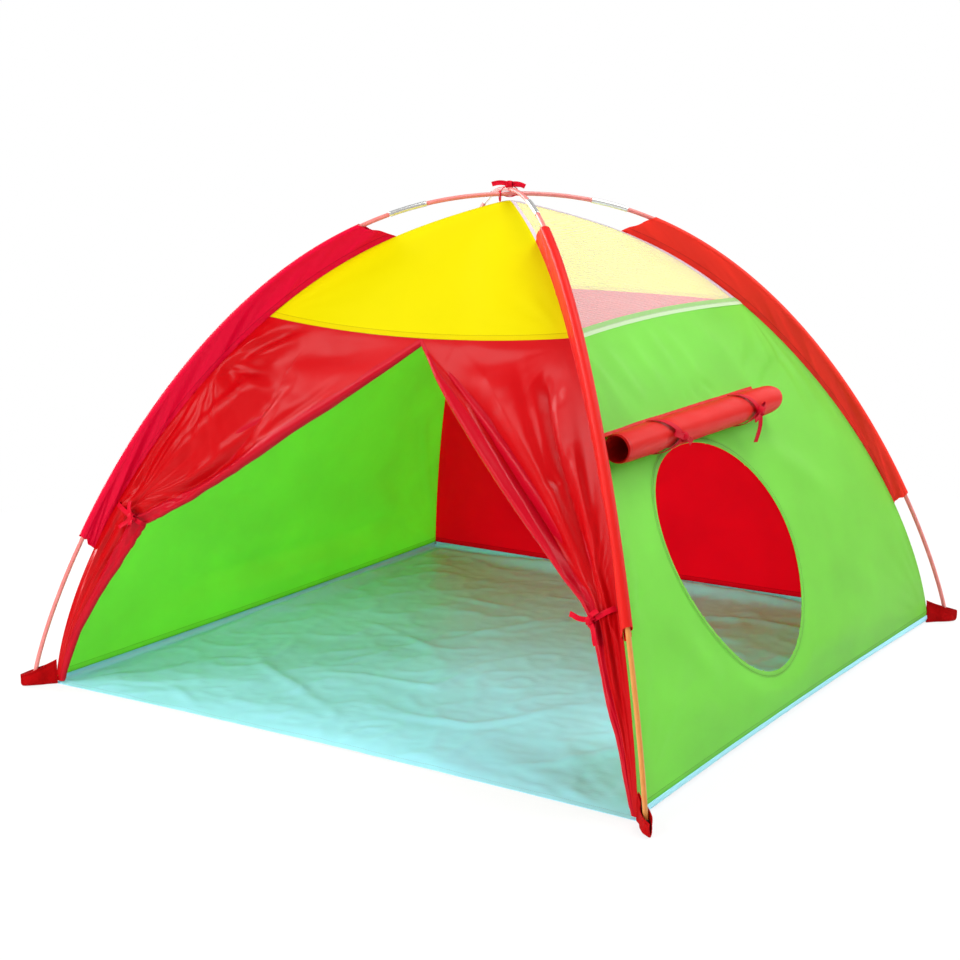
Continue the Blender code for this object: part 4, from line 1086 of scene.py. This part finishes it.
def pole_sleeve(corner, heading, crest, cloth, slot, seed):
    """A fold of cloth whose sections run from the seam round the pole and back to the seam. rises
    go from 1 at the seam to 0 at the fold, sides tell the two faces, turns go round the pole."""
    count, flat_count, round_count = 190, 30, 9
    reach, height, run = hoop_line(crest)
    seam_z = np.linspace(*(tip_height * share for share in sleeve_seam_shares), 1201)
    seam_reach = half_side(seam_z) * math.sqrt(2)
    seam_run = np.concatenate([[0], np.cumsum(np.hypot(np.diff(seam_reach), np.diff(seam_z)))])
    pole_span = np.interp([-foot_reach * share for share in sleeve_pole_shares], -reach, run)
    rises = np.concatenate([np.linspace(1, 0, flat_count), np.zeros(round_count * 2 - 1),
                            np.linspace(0, 1, flat_count)])
    turns = np.radians(np.concatenate([np.full(flat_count, fold_turn),
                                       np.linspace(fold_turn, 0, round_count)[:-1],
                                       np.linspace(0, fold_turn, round_count),
                                       np.full(flat_count, fold_turn)]))
    sides = np.concatenate([np.ones(flat_count + round_count - 1),
                            -np.ones(flat_count + round_count)])
    grid, flats = [], []
    for share in np.arange(count) / (count - 1):
        ends = noise_at(rises * 2.5 + sides * 1.7, seed, 0.4) * 0.010
        shares = share + ends * ((1 - share) ** 10 - share ** 10)
        pole_run = pole_span[0] + (pole_span[1] - pole_span[0]) * shares
        pole = joined(np.interp(pole_run, run, reach), 0, np.interp(pole_run, run, height))
        spot = shares * seam_run[-1]
        sewn = joined(np.interp(spot, seam_run, seam_reach), 0, np.interp(spot, seam_run, seam_z))
        width = np.linalg.norm(sewn - pole, axis=1)
        web = (sewn - pole) / width[:, None]
        start = -fold_radius * math.cos(math.radians(fold_turn))
        along_web = np.where(rises > 0, start + (width - start) * rises,
                             -fold_radius * np.cos(turns))
        wide = fold_radius * np.sin(turns)
        taper = np.where(rises > 0, 0.0007 + (wide - 0.0007) * (1 - rises) ** 2.4, wide)

        # Loose creases slant over both faces, and the seam's stitches gather the cloth.
        bow = np.sin(math.pi * rises) ** 0.8
        along, inward = share * seam_run[-1], rises * 0.050
        slant = inward * 0.94 + along * 0.33
        streak = noise_at(slant / 0.034, along / 0.26, seed)
        pinch = noise_at(slant / 0.013, along / 0.12, seed + 4)
        sway = bow * (0.0056 * streak + 0.0014 * pinch)
        tug = noise.noise(Vector((along / 0.016, seed, 5.0)))
        from_seam = 1 - rises
        gather = 0.0032 * tug * np.exp(-(from_seam / 0.22) ** 2) * np.clip(from_seam / 0.08, 0, 1)
        puff = bow * (0.0014 + 0.0012 * np.abs(pinch))
        across = sides * (taper + puff) + sway + gather
        flare = 0.003 * np.exp(-share / 0.012) + 0.002 * np.exp(-(1 - share) / 0.012)
        across += sides * flare * (rises > 0.2) * bow
        grid.append(pole + web * along_web[:, None] + joined(0, across, 0))
        flats.append(run_along(grid[-1]))
    run_up = (np.arange(count) / (count - 1) * seam_run[-1])[:, None]
    sleeve = cut_cloth(f"{corner}_sleeve", cloth, turned(np.array(grid), heading), flats, run_up,
                       (1 - rises) * 0.040 + (rises <= 0))
    edit_all(sleeve, bpy.ops.mesh.flip_normals)
    give_thickness(sleeve, 0.0005)
    fasten(sleeve, slot, f"{corner}_pole_sleeve")


pole_sleeve("front_left", 225, lower_crest, crimson_nylon, "red_cloth", 0.7)
pole_sleeve("back_left", 135, upper_crest, crimson_nylon, "red_cloth", 2.9)
pole_sleeve("front_right", 315, upper_crest, orange_red_nylon, "orange_red_cloth", 5.2)
pole_sleeve("back_right", 45, lower_crest, painted_light_back_orange_nylon, "orange_red_cloth", 7.6)


# Corner pockets. Pouches of thick red webbing, folded under the pole's end and stitched to the
# corner of the floor, open at the top.
webbing = woven("red_webbing", (0.37, 0.001, 0.002), (0.34, 0.001, 0.002), see_through=0.06,
                roughness=0.7, stitch=0.004, thread=0.0022, uneven=0.08, specular=0.05)
pocket_inner = floor_side / math.sqrt(2) + 0.0004
pocket_length, inner_top, outer_top, toe_radius = 0.062, 0.046, 0.022, 0.005
stations = 34
pole_at = (foot_reach - pocket_inner) / pocket_length
for corner, heading in (("front_left", 225), ("front_right", 315), ("back_right", 45),
                        ("back_left", 135)):
    # Each section runs down one face, round the fold and up the other face.
    grid, flats, edges = [], [], []
    for share in np.linspace(0, 1, stations):
        swell = math.exp(-((share - pole_at) / 0.27) ** 4)
        half = 0.0013 + 0.0052 * swell
        top = inner_top + (outer_top - inner_top) * share - 0.002 * math.sin(math.pi * share)
        short = max(toe_radius - pocket_length * (1 - share), 0)
        low = 0.0007 + toe_radius - math.sqrt(toe_radius ** 2 - short ** 2)
        heights = np.concatenate([np.linspace(top, low + 0.004, 10), [low + 0.0016, low + 0.0004],
                                  [low], [low + 0.0004, low + 0.0016],
                                  np.linspace(low + 0.004, top, 10)])
        widths = np.concatenate([np.full(10, 1.0), [0.85, 0.5], [0.0], [-0.5, -0.85],
                                 np.full(10, -1.0)]) * half
        widths += np.sign(widths) * 0.0006 * np.sin(heights * 260 + share * 9 + heading)
        reach = pocket_inner - 0.003 + (pocket_length + 0.003) * share
        grid.append(joined(reach, widths, heights))
        flats.append(np.cumsum(np.abs(np.gradient(heights)) + np.abs(np.gradient(widths))))
        edges.append(np.minimum(np.minimum(top - heights, share * pocket_length + 0.0005),
                                (1 - share) * pocket_length + 0.0005))
    pocket = cut_cloth(f"{corner}_pocket", webbing, turned(np.array(grid), heading), flats,
                       np.linspace(0, pocket_length, stations)[:, None], edges)
    give_thickness(pocket, 0.0011, offset=0.0)
    fasten(pocket, "red_webbing", f"{corner}_corner_pocket")


# Window cover. A sheet of orange-red nylon, sewn on above the window and rolled up from its free
# end. Two ribbons hold the roll, each knotted in front.
sew_height, roll_height, roll_front, roll_back = 0.520192, 0.505192, -0.4074, 0.165
roll_x, roll_start, roll_radius, turns_of_roll = 0.453283, 1.856, 0.026, 3.6
rows, columns = 200, 110
stops = np.linspace(0, 1, columns)
ys = roll_front + (roll_back - roll_front) * stops
tie_ys = [roll_front + (roll_back - roll_front) * share for share in (0.24, 0.77)]
squeeze = sum(0.0022 * np.exp(-((ys - y) / 0.016) ** 2) for y in tie_ys)
closing = 0.010 * np.exp(-(1 - stops) / 0.025) + 0.002 * np.exp(-stops / 0.02)
# The roll, from its outside to its core. The inner turns are calmer.
rows_of_roll = []
for step in np.linspace(0, 1, rows):
    turn = roll_start - math.tau * turns_of_roll * step
    radius = roll_radius - 0.0006 - 0.0034 * step
    wrinkle = noise_at(ys * 26 + turn * 0.25, turn * 0.8, 1.9)
    soft = noise_at(ys * 5, turn * 1.3, 6.6)
    slack = 0.25 if step > 0.2 else 1.0
    around = (radius - (squeeze + closing) * (radius / roll_radius)
              + slack * (0.0007 * wrinkle + 0.0010 * soft))
    out = 0.0028 * math.sin(turn * 0.5 + 0.8) * np.exp(-stops / 0.02) * (1 if step > 0.2 else 0.3)
    rows_of_roll.append(joined(roll_x + around * math.cos(turn), ys - out,
                               roll_height + around * math.sin(turn)))
# The cloth between the seam and the roll, and the strip that is sewn flat above it.
sew_line = np.full(columns, sew_height - 0.0040)
sewn = turned(front_spots(ys, sew_line, right_wall_lift(ys, sew_line) + 0.0016), 90)
first = rows_of_roll[0]
lead = []
for share in np.linspace(0, 1, 12)[:-1]:
    row = sewn + (first - sewn) * share
    row[:, 0] += 0.0012 * np.sin(ys * 330 + 3 * np.sin(ys * 40)) * math.sin(math.pi * share) ** 0.6
    row[:, 2] += 0.0008 * np.sin(ys * 290 + 1) * math.sin(math.pi * share)
    row[:, 2] -= 0.0016 * math.sin(math.pi * share)
    lead.append(row)
sewn_strip = []
for share in np.linspace(1, 0, 5)[:-1]:
    strip_line = sew_line + 0.004 * share
    strip_lift = right_wall_lift(ys, strip_line) + 0.0014 + 0.0003 * np.sin(ys * 310)
    sewn_strip.append(turned(front_spots(ys, strip_line, strip_lift), 90))
places = np.array(sewn_strip + lead + rows_of_roll)
flat_up = run_along(places)
edge = np.minimum(flat_up, np.minimum(ys - roll_front, roll_back - ys)) + 0.004
roll = cut_cloth("rolled_window_cover", orange_red_nylon, places[:, ::-1], ys[::-1],
                 flat_up[:, ::-1], edge[:, ::-1])
give_thickness(roll, 0.0006)
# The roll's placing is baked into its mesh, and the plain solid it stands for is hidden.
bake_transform(roll)
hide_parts("window_cover_roll")


def bow_loop(start, away, out, length):
    """A loop of ribbon that lies open beside its knot."""
    turn = np.linspace(0, math.tau, 40)[:, None]
    return start + away * length * (1 - np.cos(turn)) / 2 + out * (0.0028 * np.sin(turn) + 0.001)


for label, y, top_shift, knot_shift, loops, tails in (
        ("front", tie_ys[0], -0.022, 0.028, ((-0.95, 0.30, 0.040),), ((0.90, -0.43, 0.036),)),
        ("back", tie_ys[1], -0.034, 0.010, ((-0.80, -0.60, 0.024), (0.75, 0.60, 0.018)),
         ((0.02, -1.0, 0.056),))):
    side = np.array([0.0, 1.0, 0.0])
    aim = math.radians(-8)
    turns = roll_start + np.radians(np.linspace(6, -292, 100))
    skew = np.clip(np.abs(turns - aim) / math.radians(100), 0, 1)
    band_radius = roll_radius + 0.0014
    band = joined(roll_x + band_radius * np.cos(turns),
                  y + knot_shift + (top_shift - knot_shift) * skew,
                  roll_height + band_radius * np.sin(turns))
    out = np.array([math.cos(aim), 0.0, math.sin(aim)])
    down = np.array([math.sin(aim), 0.0, -math.cos(aim)])
    knot = np.array([roll_x, y + knot_shift, roll_height]) + out * (roll_radius + 0.0042)
    strips = [(band, side, 0.0105)] + knot_strips(knot, side, down, out, 0.0092, 0.0076)
    for toward, rise, length in loops:
        away = unit(side * toward - down * rise)
        strips.append((bow_loop(knot, away, out, length), np.cross(away, out), 0.0095))
    for toward, rise, length in tails:
        away = unit(side * toward - down * rise)
        line = loose_end(knot, away, length, out, 0.003, 3, side)
        strips.append((line, np.cross(away, out) - out * 0.3, 0.0095))
    ribbons(f"cover_{label}_ribbon", strips, "window_cover", f"window_cover_{label}_tie")


# Ribbon at the crossing. It is tied round both poles, with a knot on top and two loose ends, and
# a loop of red cord under it carries the tip of the tent.
crossing = np.array([0.0, 0.0, 0.868])
turn = np.linspace(0, math.tau, 61)
top = crossing + np.array([0.0, 0.0, 0.0125])
along, aside = np.array([0.83, 0.55, 0]), np.array([-0.55, 0.83, 0])
upward = np.array([0, 0, 1.0])
band = (crossing + along * 0.0156 * np.cos(turn)[:, None]
        + upward * 0.0098 * np.sin(turn)[:, None])
strips = [(band, aside, 0.0085)] + knot_strips(top, along, aside, upward, 0.0084, 0.0075)
for toward, length, sag in ((-1, 0.032, 0.001), (1, 0.028, -0.004)):
    line = [top + along * toward * length * share - aside * 0.006 * share
            + upward * (0.003 * math.sin(math.pi * share) + sag * share)
            for share in np.linspace(0, 1, 12)]
    strips.append((smooth_path(line, 36), upward + aside * 0.25, 0.0085))
strips.append((bow_loop(top, unit(along - upward * 0.15), upward, 0.024), aside, 0.0075))
ribbons("apex_ribbon", strips, "tent", "apex_tie")

# The loop hangs from the lower pole and goes through the tip of the tent.
loop_at, loop_half, cord_radius = 0.018, 0.0065, 0.0012
low = float(seam_height(loop_at)) + cord_radius - 0.0015
high = float(hoop_height(loop_at, lower_crest)) + rod_radius + cord_radius + 0.0004
turn = np.linspace(0, math.tau, 49)[:-1]
ring = joined(loop_at, loop_half * np.cos(turn),
              (low + high) / 2 + (high - low) / 2 * np.sin(turn))
bent_tube("apex_hanger", turned(ring, 225), np.full(len(turn), cord_radius), 0, ribbon_red,
          "ribbon_red", "apex_loop", closed=True)


bpy.ops.object.select_all(action="DESELECT")
